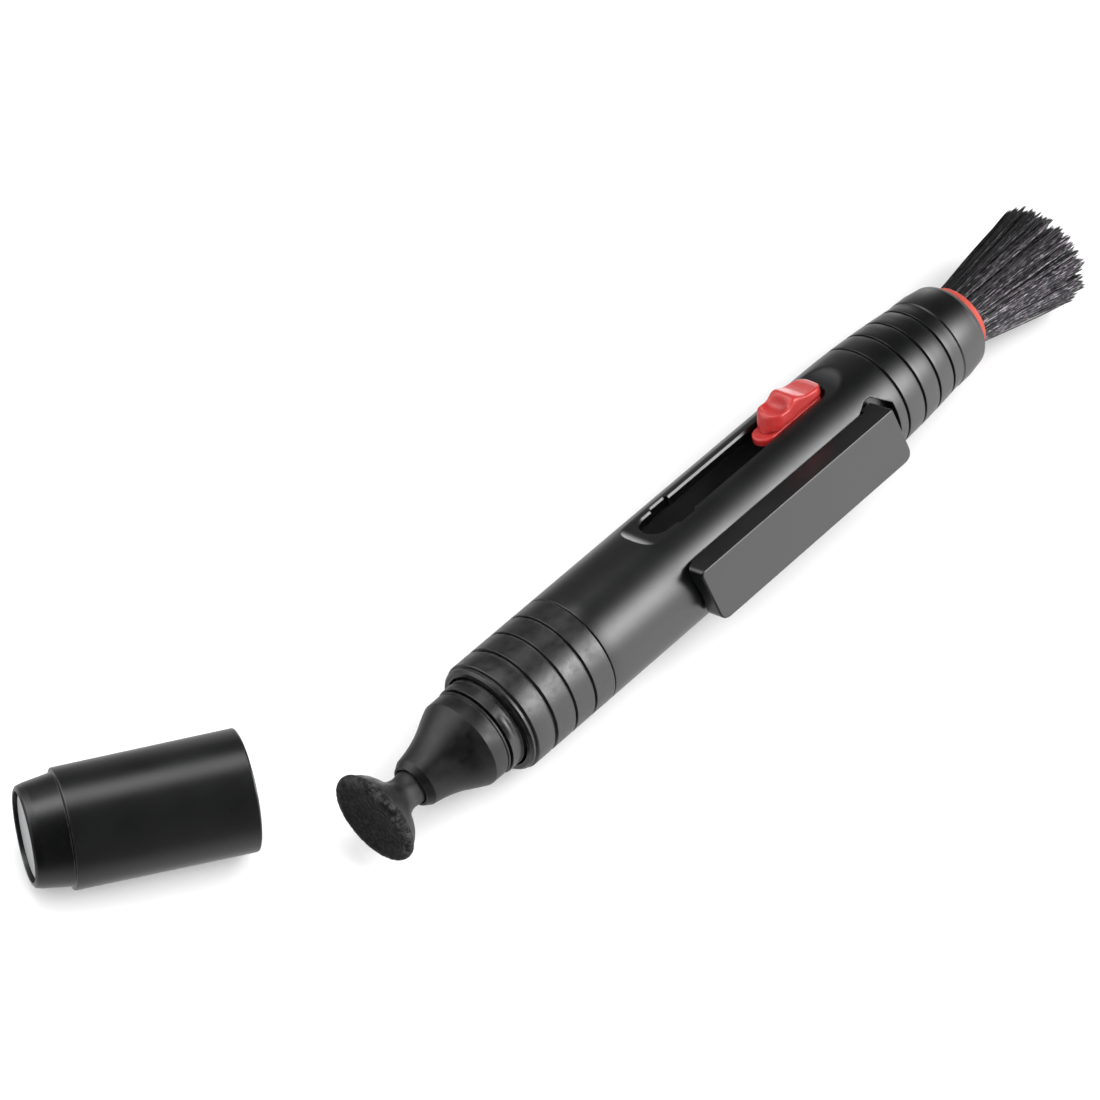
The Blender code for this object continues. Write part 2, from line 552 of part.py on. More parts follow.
def build_cap_inside(cap, liner, carbon):
    cup_radius = CAP_NOSE_BORE_RADIUS - GAP
    cup_bore = cup_radius - CUP_WALL
    cup_mouth = CAP_PAD_FACE + 1.0 * MM
    cup_end = CAP_INNER_FLOOR - GAP
    cup_floor = cup_end - CUP_FLOOR
    cup = [(cup_mouth, cup_bore), (cup_mouth, cup_radius), (cup_end, cup_radius), (cup_end, 0.0),
           (cup_floor, 0.0), (cup_floor, cup_bore)]
    turned("cap_pad_cup", cup, liner, cap, segments=FINE_SEGMENTS)
    pad_radius = cup_bore - GAP
    pad_back = cup_floor - GAP
    rounding = 0.6 * MM
    pad = [(pad_back, 0.0), (pad_back, pad_radius)]
    pad += arc((CAP_PAD_FACE + rounding, pad_radius - rounding), rounding, 90, 180, 3)
    pad.append((CAP_PAD_FACE, 0.0))
    turned("carbon_pad", pad, carbon, cap, segments=FINE_SEGMENTS)


def build_cap_badge(cap, silver):
    radius = CAP_RECESS_RADIUS - GAP
    back = CAP_RECESS_FLOOR + GAP
    face = back + BADGE_THICKNESS
    outline = [(back, 0.0), (back, radius), (face - EDGE_BREAK, radius), (face, radius - EDGE_BREAK),
               (face, 0.0)]
    turned("cap_badge", outline, silver, cap)


def main():
    clear_scene()
    gloss_black = make_material("gloss_black_plastic", (0.02, 0.02, 0.022), 0.32)
    matt_black = make_material("matt_black_plastic", (0.025, 0.025, 0.026), 0.55)
    rubber = make_material("black_rubber", (0.02, 0.02, 0.02), 0.7)
    carbon = make_material("carbon_face", (0.01, 0.01, 0.01), 0.95)
    red = make_material("red_plastic", (0.7, 0.04, 0.045), 0.35)
    hair = make_material("black_bristle", (0.03, 0.03, 0.035), 0.6)
    resin = make_material("resin", (0.15, 0.13, 0.1), 0.5)
    liner = make_material("liner_plastic", (0.05, 0.05, 0.05), 0.5)
    silver = make_material("silver_badge", (0.6, 0.6, 0.61), 0.35, 0.6)

    pen = make_empty("pen", location=(PEN_X, PEN_Y, PEN_RADIUS))
    build_barrel(pen, gloss_black)
    build_front_sleeve(pen, matt_black)
    build_cap_seat(pen, matt_black)
    build_tip_holder(pen, matt_black)
    build_tip_stem(pen, rubber)
    build_tip(pen, rubber, carbon)
    build_clip(pen, gloss_black)

    brush_axis = make_empty("brush_slide_axis", pen)
    build_carriage(brush_axis, red)
    build_button(brush_axis, red)
    build_ferrule(brush_axis, red)
    build_bristles(brush_axis, resin, hair)

    centre = cap_swing_centre()
    swing = make_empty("cap_swing_axis", pen, (centre.x, centre.y, 0.0))
    mouth = (CAP_MOUTH_X - centre.x, CAP_MOUTH_Y - centre.y, CAP_MOUTH_RADIUS - PEN_RADIUS)
    cap = make_empty("cap", swing, mouth, turn_z=CAP_HEADING)
    build_cap_shell(cap, matt_black)
    build_cap_inside(cap, liner, carbon)
    build_cap_badge(cap, silver)


main()
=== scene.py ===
"""The looks of the lens cleaning pen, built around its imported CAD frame.

Pieces are drawn in millimetres in the pen's own frame: x runs along the axis from the seam
between front sleeve and barrel towards the brush, z is up, and each finished mesh is moved
into the row frame. Angles round the axis are measured from straight up.
"""

import math
import random

import bmesh
import bpy
import numpy as np
from mathutils import Matrix, Vector, noise


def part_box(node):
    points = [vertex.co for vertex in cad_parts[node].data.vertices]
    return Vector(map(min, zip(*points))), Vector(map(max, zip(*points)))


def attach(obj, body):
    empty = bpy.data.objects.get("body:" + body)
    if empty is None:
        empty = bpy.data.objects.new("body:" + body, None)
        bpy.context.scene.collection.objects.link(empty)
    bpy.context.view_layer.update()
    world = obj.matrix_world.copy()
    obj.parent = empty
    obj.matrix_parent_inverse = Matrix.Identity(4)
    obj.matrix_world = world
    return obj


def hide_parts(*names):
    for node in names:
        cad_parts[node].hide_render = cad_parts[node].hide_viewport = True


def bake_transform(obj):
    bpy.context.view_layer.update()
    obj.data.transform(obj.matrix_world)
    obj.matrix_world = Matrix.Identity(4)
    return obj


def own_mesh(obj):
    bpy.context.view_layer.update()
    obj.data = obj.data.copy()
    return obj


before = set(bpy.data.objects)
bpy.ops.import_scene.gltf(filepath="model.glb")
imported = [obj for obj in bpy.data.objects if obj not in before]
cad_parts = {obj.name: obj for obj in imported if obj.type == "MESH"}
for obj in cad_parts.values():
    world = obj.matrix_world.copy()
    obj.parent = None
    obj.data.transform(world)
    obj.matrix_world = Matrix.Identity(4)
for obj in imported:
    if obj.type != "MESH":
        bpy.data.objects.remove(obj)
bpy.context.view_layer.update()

MM = 0.001
SEED = 20
SMALL_FACETS = 128                  # round the tip and the small rings
FINE_FACETS = 192                   # round the sleeve, cap seat, cone and cap
BARREL_FACETS = 256

# Pen: sizes in millimetres, turns from straight up about the axis
PEN_RADIUS = 7.5
SLOT_TURN = math.radians(26.4)
CLIP_TURN = math.radians(-60.1)

# Cap: centre of its open mouth, heading of its closed end and outer radius of its mouth
CAP_MOUTH = (-41.53, 13.03)
CAP_HEADING = math.radians(150.45)
CAP_MOUTH_RADIUS = 7.36

# The seam between sleeve and barrel is half a CAD gap behind the sleeve's rear end
HALF_GAP = 0.15
sleeve_low, sleeve_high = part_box("front_sleeve")
PEN_ORIGIN = Vector((sleeve_high.x + HALF_GAP * MM, (sleeve_low.y + sleeve_high.y) / 2, PEN_RADIUS * MM))

PEN = Matrix.Translation(PEN_ORIGIN) @ Matrix.Diagonal((MM, MM, MM, 1.0))
SLOT = PEN @ Matrix.Rotation(-SLOT_TURN, 4, "X")
CLIP = PEN @ Matrix.Rotation(-CLIP_TURN, 4, "X")
CAP = (PEN @ Matrix.Translation((CAP_MOUTH[0], CAP_MOUTH[1], CAP_MOUTH_RADIUS - PEN_RADIUS))
       @ Matrix.Rotation(CAP_HEADING, 4, "Z"))


# ---------- node helpers

def feed(tree, node, inputs):
    """Each input takes a value, or a link from another node's socket."""
    for key, value in inputs.items():
        if isinstance(value, bpy.types.NodeSocket):
            tree.links.new(value, node.inputs[key])
        else:
            node.inputs[key].default_value = value


def add(tree, kind, inputs=None, **properties):
    made = tree.nodes.new(kind)
    for key, value in properties.items():
        setattr(made, key, value)
    feed(tree, made, inputs or {})
    return made


def new_finish(name):
    finish = bpy.data.materials.new(name)
    finish.use_nodes = True
    tree = finish.node_tree
    return finish, tree, tree.nodes["Principled BSDF"]


def in_millimetres(tree, stretch=(1.0, 1.0, 1.0)):
    """The object's own coordinates in millimetres, stretched to draw patterns out."""
    place = add(tree, "ShaderNodeTexCoord").outputs["Object"]
    scale = tuple(s / MM for s in stretch)
    return add(tree, "ShaderNodeVectorMath", {0: place, 1: scale}, operation="MULTIPLY").outputs[0]


def cloud(tree, place, size, detail=3.0, roughness=0.55):
    """Noise whose blotches are about size millimetres across."""
    made = add(tree, "ShaderNodeTexNoise",
               {"Vector": place, "Scale": 1.0 / size, "Detail": detail, "Roughness": roughness})
    return made.outputs["Fac"]


def remap(tree, value, low_in, high_in, low, high, ramp="LINEAR"):
    made = add(tree, "ShaderNodeMapRange",
               {"Value": value, "From Min": low_in, "From Max": high_in, "To Min": low, "To Max": high},
               interpolation_type=ramp)
    return made.outputs["Result"]


def maths(tree, operation, first, second):
    return add(tree, "ShaderNodeMath", {0: first, 1: second}, operation=operation).outputs[0]


def blend_colours(tree, share, first, second):
    """Mixes two colours; in this node, sockets 6 and 7 take colours and 2 gives one."""
    made = add(tree, "ShaderNodeMix", {"Factor": share}, data_type="RGBA")
    for key, colour in ((6, first), (7, second)):
        feed(tree, made, {key: (*colour, 1.0) if isinstance(colour, tuple) else colour})
    return made.outputs[2]


def bump(tree, height, depth, after=None):
    """Relief of that depth in millimetres, on top of another relief if one is given."""
    inputs = {"Height": height, "Distance": depth * MM, "Strength": 1.0}
    if after is not None:
        inputs["Normal"] = after
    return add(tree, "ShaderNodeBump", inputs).outputs["Normal"]


def worn_and_highlit_edges(tree, place, radius):
    """About 1 on worn corners and 0 elsewhere, broken up along the edge; the paler corners are partly wear
    and partly a painted highlight.
    """
    rounded = add(tree, "ShaderNodeBevel", {"Radius": radius * MM}, samples=4).outputs["Normal"]
    true = add(tree, "ShaderNodeNewGeometry").outputs["Normal"]
    alike = add(tree, "ShaderNodeVectorMath", {0: rounded, 1: true}, operation="DOT_PRODUCT")
    edge = remap(tree, alike.outputs["Value"], 0.995, 0.90, 0.0, 1.0)
    broken = remap(tree, cloud(tree, place, 0.9), 0.35, 0.6, 0.15, 1.0)
    return maths(tree, "MULTIPLY", edge, broken)


def moulded_plastic(name, dark, light, roughness, patch, grain, grain_depth, wear_and_highlight, specular=0.5):
    """A moulded plastic: soft patches, a fine grain, faint handling marks and paler worn corners, which are
    partly a painted highlight.

    dark and light are the patches' colours and roughness their range; patch and grain are the
    sizes of the patches and the grain, and grain_depth its relief, all in millimetres.
    """
    mark_roughness = 0.05
    fine_roughness = 0.04
    finish, tree, shader = new_finish(name)
    place = in_millimetres(tree)
    patches = remap(tree, cloud(tree, place, patch, 5.0, 0.6), 0.35, 0.68, 0.0, 1.0)
    fine = cloud(tree, place, grain, 2.0)
    mark_place = in_millimetres(tree, (0.12, 1.0, 1.0))
    marks = remap(tree, cloud(tree, mark_place, 0.5, 3.0, 0.7), 0.62, 0.78, 0.0, 1.0)
    worn_and_highlit_edge = worn_and_highlit_edges(tree, place, 0.15)
    colour = blend_colours(tree, patches, dark, light)
    # worn corners take a paler colour: partly wear, partly a painted edge highlight
    colour = blend_colours(tree, maths(tree, "MULTIPLY", worn_and_highlit_edge, 0.8), colour, wear_and_highlight)
    rough = remap(tree, patches, 0.0, 1.0, roughness[0], roughness[1])
    rough = maths(tree, "ADD", rough, maths(tree, "MULTIPLY", marks, mark_roughness))
    rough = maths(tree, "ADD", rough, maths(tree, "MULTIPLY", fine, fine_roughness))
    relief = bump(tree, cloud(tree, place, 2.4, 2.0), 0.004)
    relief = bump(tree, fine, grain_depth, relief)
    feed(tree, shader, {"Base Color": colour, "Roughness": rough, "Normal": relief,
                        "Specular IOR Level": specular})
    return finish


def red_moulding(name, dark, light, roughness, specular, coat):
    """A satin, slightly milky red moulding with paler worn corners, whose pink is partly a painted
    highlight.
    """
    finish, tree, shader = new_finish(name)
    place = in_millimetres(tree)
    patches = cloud(tree, place, 1.6, 4.0, 0.6)
    colour = blend_colours(tree, remap(tree, patches, 0.3, 0.7, 0.0, 1.0), dark, light)
    # worn corners blended towards highlight pink: partly wear, partly a painted highlight
    wear_and_highlight = maths(tree, "MULTIPLY", worn_and_highlit_edges(tree, place, 0.25), 0.35)
    colour = blend_colours(tree, wear_and_highlight, colour, (0.72, 0.24, 0.22))
    feed(tree, shader, {"Base Color": colour, "Roughness": remap(tree, patches, 0.3, 0.7, *roughness),
                        "Normal": bump(tree, cloud(tree, place, 0.13, 2.0), 0.004),
                        "Specular IOR Level": specular, "Coat Weight": coat, "Coat Roughness": 0.2,
                        "Subsurface Weight": 0.25, "Subsurface Radius": (1.0, 0.25, 0.2),
                        "Subsurface Scale": 0.6 * MM})
    return finish


def carbon_coating():
    """A loaded, slightly crumbly coating: dark grains, grey dust in the hollows, odd glints."""
    finish, tree, shader = new_finish("carbon_coating")
    place = in_millimetres(tree)
    grains = add(tree, "ShaderNodeTexVoronoi", {"Vector": place, "Scale": 4.2, "Randomness": 1.0})
    lumps = cloud(tree, place, 0.55, 5.0, 0.7)
    dust = remap(tree, cloud(tree, place, 0.9, 6.0, 0.75), 0.45, 0.72, 0.0, 1.0)
    rim = add(tree, "ShaderNodeAttribute", attribute_name="rim_dust").outputs["Fac"]
    share = maths(tree, "MULTIPLY", dust, maths(tree, "ADD", 0.12, rim))
    colour = blend_colours(tree, share, (0.0015, 0.0015, 0.0017), (0.06, 0.061, 0.063))
    relief = bump(tree, lumps, 0.16)
    relief = bump(tree, grains.outputs["Distance"], 0.05, relief)
    feed(tree, shader, {"Base Color": colour, "Roughness": remap(tree, lumps, 0.35, 0.7, 0.85, 0.5),
                        "Normal": relief, "Specular IOR Level": 0.25})
    return finish


def hair():
    """Black hair: each strand has its own tone, painted paler on the side that faces the light, with flecks
    of painted highlight and a paler end.
    """
    finish, tree, shader = new_finish("bristle_hair")
    tone = add(tree, "ShaderNodeAttribute", attribute_name="strand_tone").outputs["Fac"]
    along = add(tree, "ShaderNodeAttribute", attribute_name="strand_along").outputs["Fac"]
    place = in_millimetres(tree, (0.45, 2.2, 2.2))
    # painted highlight: short pale flecks along the strands stand in for broken highlights
    painted_glints = remap(tree, cloud(tree, place, 0.6, 4.0, 0.7), 0.50, 0.60, 0.0, 1.0)
    share = maths(tree, "MULTIPLY", maths(tree, "POWER", tone, 1.6), maths(tree, "ADD", painted_glints, 0.06))
    # the pale lilac grey stands for lit hair: painted light, not the hair's own colour
    colour = blend_colours(tree, share, (0.003, 0.003, 0.0034), (0.52, 0.47, 0.53))
    colour = blend_colours(tree, remap(tree, along, 0.8, 1.0, 0.0, 0.15), colour, (0.06, 0.06, 0.064))
    feed(tree, shader, {"Base Color": colour, "Roughness": remap(tree, tone, 0.0, 1.0, 0.5, 0.3),
                        "Normal": bump(tree, cloud(tree, place, 0.08, 1.0), 0.006),
                        "Specular IOR Level": 0.4})
    return finish


def silver_disc():
    """Satin silver with a faint brushed streak."""
    finish, tree, shader = new_finish("satin_silver")
    place = in_millimetres(tree)
    brushed = cloud(tree, in_millimetres(tree, (1.0, 1.0, 14.0)), 1.2, 4.0, 0.7)
    colour = blend_colours(tree, cloud(tree, place, 1.5, 3.0), (0.40, 0.41, 0.42), (0.50, 0.50, 0.51))
    feed(tree, shader, {"Base Color": colour, "Roughness": remap(tree, brushed, 0.3, 0.7, 0.32, 0.5),
                        "Normal": bump(tree, brushed, 0.006), "Metallic": 0.6})
    return finish


# ---------- mesh helpers

def link(name, mesh):
    piece = bpy.data.objects.new(name, mesh)
    bpy.context.scene.collection.objects.link(piece)
    return piece


def smooth(mesh, sharp=40.0):
    mesh.shade_smooth()
    mesh.set_sharp_from_angle(angle=math.radians(sharp))


def place_piece(name, mesh, finish, matrix, body=None, stands_for=(), sharp=40.0):
    """Moves a mesh drawn in millimetres into the row frame and makes it ride on its body."""
    mesh.transform(matrix)
    mesh.materials.clear()
    mesh.materials.append(finish)
    smooth(mesh, sharp)
    mesh.name = name
    piece = link(name, mesh)
    even = piece.modifiers.new("even_shading", "WEIGHTED_NORMAL")
    even.keep_sharp = True
    if body:
        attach(piece, body)
    if stands_for:
        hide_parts(*stands_for)
    return piece


def to_mesh(shape, name="drawn"):
    bmesh.ops.recalc_face_normals(shape, faces=shape.faces)
    mesh = bpy.data.meshes.new(name)
    shape.to_mesh(mesh)
    shape.free()
    return mesh


def fillet(outline, closed=True, steps=4):
    """Rounds the corners of (x, y, radius) points; a point without a radius stays sharp."""
    longest_share = 0.48
    points = []
    count = len(outline)
    for index, corner in enumerate(outline):
        here = Vector(corner[:2])
        size = corner[2] if len(corner) > 2 else 0.0
        ends = not closed and index in (0, count - 1)
        if size <= 0.0 or ends:
            points.append(tuple(here))
            continue
        before = Vector(outline[index - 1][:2]) - here
        after = Vector(outline[(index + 1) % count][:2]) - here
        turn = before.angle(after)
        reach = min(size / math.tan(turn / 2), longest_share * before.length, longest_share * after.length)
        start = here + before.normalized() * reach
        stop = here + after.normalized() * reach
        for step in range(steps + 1):
            t = step / steps
            points.append(tuple(start * (1 - t) ** 2 + here * 2 * t * (1 - t) + stop * t * t))
    return points


def lathe(outline, facets=FINE_FACETS, turn=0.0):
    """Spins a closed outline of (station, radius) points about the X axis."""
    shape = bmesh.new()
    rings = []
    for station, radius in outline:
        count = facets if radius > 1e-6 else 1
        ring = []
        for index in range(count):
            angle = turn + 2 * math.pi * (index + 0.5) / facets
            ring.append(shape.verts.new((station, radius * math.sin(angle), radius * math.cos(angle))))
        rings.append(ring)
    for near, far in zip(rings, rings[1:] + rings[:1]):
        if len(near) == 1 and len(far) == 1:
            continue
        for index in range(facets):
            after = (index + 1) % facets
            corners = [near[index % len(near)], near[after % len(near)]]
            corners += [far[after % len(far)], far[index % len(far)]]
            shape.faces.new(list(dict.fromkeys(corners)))
    return to_mesh(shape)


def prism(outline, low, high, across=False):
    """Draws a closed outline out between two heights; across=True draws an (x, z) outline along Y."""
    shape = bmesh.new()
    layers = []
    for level in (low, high):
        corners = [(x, level, y) if across else (x, y, level) for x, y in outline]
        layers.append([shape.verts.new(corner) for corner in corners])
    for layer in layers:
        shape.faces.new(layer)
    for index in range(len(outline)):
        after = (index + 1) % len(outline)
        shape.faces.new((layers[0][index], layers[0][after], layers[1][after], layers[1][index]))
    return to_mesh(shape)


def arc(centre, radius, start, stop, steps):
    """Points on an arc between two angles in degrees."""
    angles = [math.radians(start + (stop - start) * index / steps) for index in range(steps + 1)]
    return [(centre[0] + radius * math.cos(a), centre[1] + radius * math.sin(a)) for a in angles]


def stadium(front, rear, half_width, steps):
    """A slot-shaped outline with half-round ends."""
    outline = arc((rear - half_width, 0.0), half_width, -90, 90, steps)
    return outline + arc((front + half_width, 0.0), half_width, 90, 270, steps)


def combine(mesh, tools):
    """Applies exact Booleans: tools are (operation, mesh, turn about X)."""
    target = link("boolean_target", mesh)
    helpers = []
    for operation, tool_mesh, turn in tools:
        tool_mesh.transform(Matrix.Rotation(turn, 4, "X"))
        tool = link("boolean_tool", tool_mesh)
        helpers.append(tool)
        change = target.modifiers.new("change", "BOOLEAN")
        change.operation = operation
        change.solver = "EXACT"
        change.object = tool
    bpy.context.view_layer.update()
    ready = target.evaluated_get(bpy.context.evaluated_depsgraph_get())
    made = bpy.data.meshes.new_from_object(ready)
    for item in [target, *helpers]:
        bpy.data.objects.remove(item, do_unlink=True)
    return made


def bevel_edges(mesh, chosen, width, steps=3, sharpest=14.0, weld=0.012):
    """Rounds the edges that turn by more than an angle and that chosen(middle point) accepts."""
    shape = bmesh.new()
    shape.from_mesh(mesh)
    bmesh.ops.remove_doubles(shape, verts=shape.verts, dist=weld)
    bmesh.ops.dissolve_degenerate(shape, dist=weld, edges=shape.edges)
    edges = []
    for edge in shape.edges:
        if len(edge.link_faces) != 2 or edge.calc_face_angle(0.0) < math.radians(sharpest):
            continue
        if chosen((edge.verts[0].co + edge.verts[1].co) / 2):
            edges.append(edge)
    bmesh.ops.bevel(shape, geom=edges, offset=width, offset_type="OFFSET", segments=steps,
                    profile=0.5, affect="EDGES", clamp_overlap=False)
    return to_mesh(shape)


# ---------- pen body
# Turned pieces are drawn as outlines of (station, radius, corner rounding).

SEAM = 0.05                         # sleeve and barrel each stop this far short of x = 0

TAPER_START = 49.5
TAPER_END = 66.9
TAPER_DROP = 1.08
REAR_GROOVES = (54.9, 58.3, 61.5, 64.6)
SLEEVE_GROOVES = (-10.35, -6.8, -3.41)
GROOVE_WIDTH = 0.42

BARREL_BORE = 5.9
CARRIAGE_BORE = 5.2                 # the bore's narrower rear part, which guides the carriage
MOUTH_RADIUS = 4.9
LIP_CENTRE = 70.93                  # the lip round the barrel's mouth is an arc about this station
LIP_END = 72.15

# Thumb recess: a flat floor over the axis whose ends sweep up in arcs, and the slot in it
RECESS_FLOOR = 6.9
RECESS_FRONT = 13.3
RECESS_REAR = 51.0
FRONT_SWEEP = 3.2
REAR_SWEEP = 9.9
SLOT_FRONT = 15.8
SLOT_REAR = 48.0
SLOT_HALF_WIDTH = 2.15
NOTCH_HALF_WIDTH = 2.6

# Cutters reach from well inside the bore to well clear of the barrel
CUT_LOW = 3.0
CUT_HIGH = 12.0
POCKET_FLOOR = 5.75
BORE_REACH = 6.1                    # no point of the bore is further from the axis


def barrel_radius(station):
    along = max(0.0, (station - TAPER_START) / (TAPER_END - TAPER_START))
    return PEN_RADIUS - TAPER_DROP * along ** 2


def groove(station, radius_at, width, depth):
    """A narrow turned line with softened shoulders."""
    half = width / 2
    shoulder, foot = 0.09, 0.05
    return [(station - half, radius_at(station - half), shoulder),
            (station - 0.55 * half, radius_at(station) - depth, foot),
            (station + 0.55 * half, radius_at(station) - depth, foot),
            (station + half, radius_at(station + half), shoulder)]


def barrel_outline():
    """The barrel's half-section, with close stations where the recess's ends are pressed in."""
    front_step, rear_step, taper_step = 0.15, 0.42, 0.9
    outline = [(SEAM, BARREL_BORE), (SEAM, PEN_RADIUS, 0.13)]
    stations = [2.0, 6.0, 9.4]
    stations += [RECESS_FRONT - 1.2 + front_step * index for index in range(22)]
    stations += [17.0, 19.0, 24.0, 30.0, 36.0, 42.0, 46.5]
    stations += [47.4 + rear_step * index for index in range(11)]
    outline += [(station, barrel_radius(station)) for station in stations]
    here = 52.4
    for station in REAR_GROOVES:
        while here < station - taper_step:
            outline.append((here, barrel_radius(here)))
            here += taper_step
        outline += groove(station, barrel_radius, GROOVE_WIDTH, 0.34)
        here = station + taper_step
    collar = barrel_radius(TAPER_END) + 0.12
    outline += [(65.8, barrel_radius(65.8)), (66.75, barrel_radius(66.75), 0.2), (67.0, collar, 0.2)]
    outline += [(68.9, collar - 0.08), (70.75, 6.16)]
    outline += arc((LIP_CENTRE, MOUTH_RADIUS), LIP_END - LIP_CENTRE, 88, 2, 14)
    outline += [(72.1, MOUTH_RADIUS), (66.0, MOUTH_RADIUS, 0.1), (65.5, CARRIAGE_BORE),
                (44.5, CARRIAGE_BORE), (43.8, BARREL_BORE)]
    return fillet(outline)


def sweep_reach(radius):
    """How far an arc of that radius runs while it climbs from the floor to the surface."""
    return math.sqrt(radius ** 2 - (radius - (PEN_RADIUS - RECESS_FLOOR)) ** 2)


def recess_height(station):
    """Height over the axis of the recess's surface, at its middle line."""
    ahead = RECESS_FRONT + sweep_reach(FRONT_SWEEP) - station
    behind = station - (RECESS_REAR - sweep_reach(REAR_SWEEP))
    away, radius = (ahead, FRONT_SWEEP) if ahead > 0.0 else (behind, REAR_SWEEP)
    if away <= 0.0:
        return RECESS_FLOOR
    if away >= radius:
        return RECESS_FLOOR + radius
    return RECESS_FLOOR + radius - math.sqrt(radius ** 2 - away ** 2)


def press_recess(mesh):
    """Lowers the barrel's outer surface to the recess; its long sides blend in, its ends stay crisp."""
    skin = 7.0                      # points further out are on the outer surface
    least_facing = 0.7              # the recess stays on the side that faces the slot
    crisp_blend = 0.03
    softer_blend = 0.22             # added away from the ends
    softening = 2.0                 # distance over which it is added
    for vertex in mesh.vertices:
        station, y, z = vertex.co
        radius = math.hypot(y, z)
        if radius < skin or not RECESS_FRONT - 2.0 < station < RECESS_REAR + 1.0:
            continue
        facing = (y * math.sin(SLOT_TURN) + z * math.cos(SLOT_TURN)) / radius
        if facing < least_facing:
            continue
        floor = recess_height(station) / facing
        inset = min(station - RECESS_FRONT - 1.5, RECESS_REAR - 2.0 - station)
        blend = crisp_blend + softer_blend * min(1.0, max(0.0, inset / softening))
        overlap = max(0.0, 1.0 - abs(radius - floor) / blend)
        lowered = min(radius, floor) - 0.25 * blend * overlap ** 2
        vertex.co = (station, y * lowered / radius, z * lowered / radius)


def slot_plan():
    """The slot from above: one side with its notch, from front end to rear end, then mirrored."""
    half, notch, rounding = SLOT_HALF_WIDTH, NOTCH_HALF_WIDTH, 0.25
    side = arc((SLOT_FRONT + half, 0.0), half, 180, 98, 14)
    side += fillet([(19.15, half), (19.5, notch, rounding), (22.0, notch, rounding), (22.35, half)],
                   closed=False)
    side += arc((SLOT_REAR - half, 0.0), half, 82, 0, 14)
    return side + [(x, -y) for x, y in reversed(side[1:-1])]


def outward(outline, distance):
    """The outline moved outwards by a distance along its corners' normals."""
    moved = []
    for index, here in enumerate(outline):
        before, after = Vector(outline[index - 1]), Vector(outline[(index + 1) % len(outline)])
        along = (after - before).normalized()
        moved.append((here[0] - along.y * distance, here[1] + along.x * distance))
    return moved


def flared_cutter(outline, low, rim, high):
    """A cutter whose sides flare out below the rim, which leaves a steep chamfer there."""
    levels = [(low, 0.0), (rim - 0.30, 0.0), (rim - 0.02, 0.16), (rim + 0.02, 0.20),
              (rim + 0.05, 0.26), (high, 0.26)]
    shape = bmesh.new()
    layers = []
    for level, flare in levels:
        layers.append([shape.verts.new((x, y, level)) for x, y in outward(outline, flare)])
    shape.faces.new(layers[0])
    shape.faces.new(layers[-1])
    for near, far in zip(layers, layers[1:]):
        for index in range(len(outline)):
            after = (index + 1) % len(outline)
            shape.faces.new((near[index], near[after], far[after], far[index]))
    return to_mesh(shape)


def pocket_plan():
    """The clip's pocket from above, wide beside the clip's foot and narrowing to the rear."""
    half = [(47.7, 3.3), (48.3, 3.95), (49.8, 4.65), (50.8, 4.65), (53.2, 2.5)]
    return half + [(x, -y) for x, y in reversed(half)]


def build_barrel(finish, bore_painted_light_finish):
    shell = lathe(barrel_outline(), BARREL_FACETS, SLOT_TURN)
    press_recess(shell)
    opening = flared_cutter(slot_plan(), CUT_LOW, RECESS_FLOOR, CUT_HIGH)
    pocket = prism(fillet([(x, y, 0.2) for x, y in pocket_plan()]), POCKET_FLOOR, CUT_HIGH)
    shell = combine(shell, [("DIFFERENCE", opening, -SLOT_TURN), ("DIFFERENCE", pocket, -CLIP_TURN)])

    def on_pocket_rim(p):
        towards_clip = p.y * math.sin(CLIP_TURN) + p.z * math.cos(CLIP_TURN)
        near_surface = math.hypot(p.y, p.z) > 7.1
        return towards_clip > 5.0 and near_surface and 47.3 < p.x < 53.6

    shell = bevel_edges(shell, on_pocket_rim, 0.15, 3, 32.0)
    reach = [math.hypot(vertex.co.y, vertex.co.z) for vertex in shell.vertices]
    inside = [max(reach[index] for index in face.vertices) < BORE_REACH for face in shell.polygons]
    piece = place_piece("barrel_shell", shell, finish, PEN, "pen", ("barrel",), 26.0)
    # the bore's faces get a lighter grey than the barrel's black: painted light standing in for light that
    # comes in through the slot
    piece.data.materials.append(bore_painted_light_finish)
    for face, within in zip(piece.data.polygons, inside):
        face.material_index = 1 if within else 0


def build_front_sleeve(finish):
    """A straight grooved band, with a stepped chamfer and a fine line at its front end."""
    def straight(station):
        return PEN_RADIUS

    bore = 6.4
    outline = [(-14.3, bore), (-14.3, 6.95, 0.05), (-13.95, 7.25, 0.05), (-13.75, 7.25, 0.04),
               (-13.7, 7.1, 0.03), (-13.5, 7.1, 0.03), (-13.4, 7.42, 0.05), (-13.3, PEN_RADIUS, 0.06),
               (-12.0, PEN_RADIUS)]
    outline += groove(SLEEVE_GROOVES[0], straight, 0.62, 0.42)
    for station in SLEEVE_GROOVES[1:]:
        outline += groove(station, straight, GROOVE_WIDTH, 0.36)
    outline += [(-SEAM, PEN_RADIUS, 0.13), (-SEAM, bore)]
    place_piece("grip_sleeve", lathe(fillet(outline)), finish, PEN, "pen",
                ("front_sleeve",))


SEAT_FRONT = -16.3
SEAT_RADIUS = 6.1
RIB_STATION = -15.7
RIB_HALF_LENGTH = 0.55
RIB_HEIGHT = 0.16


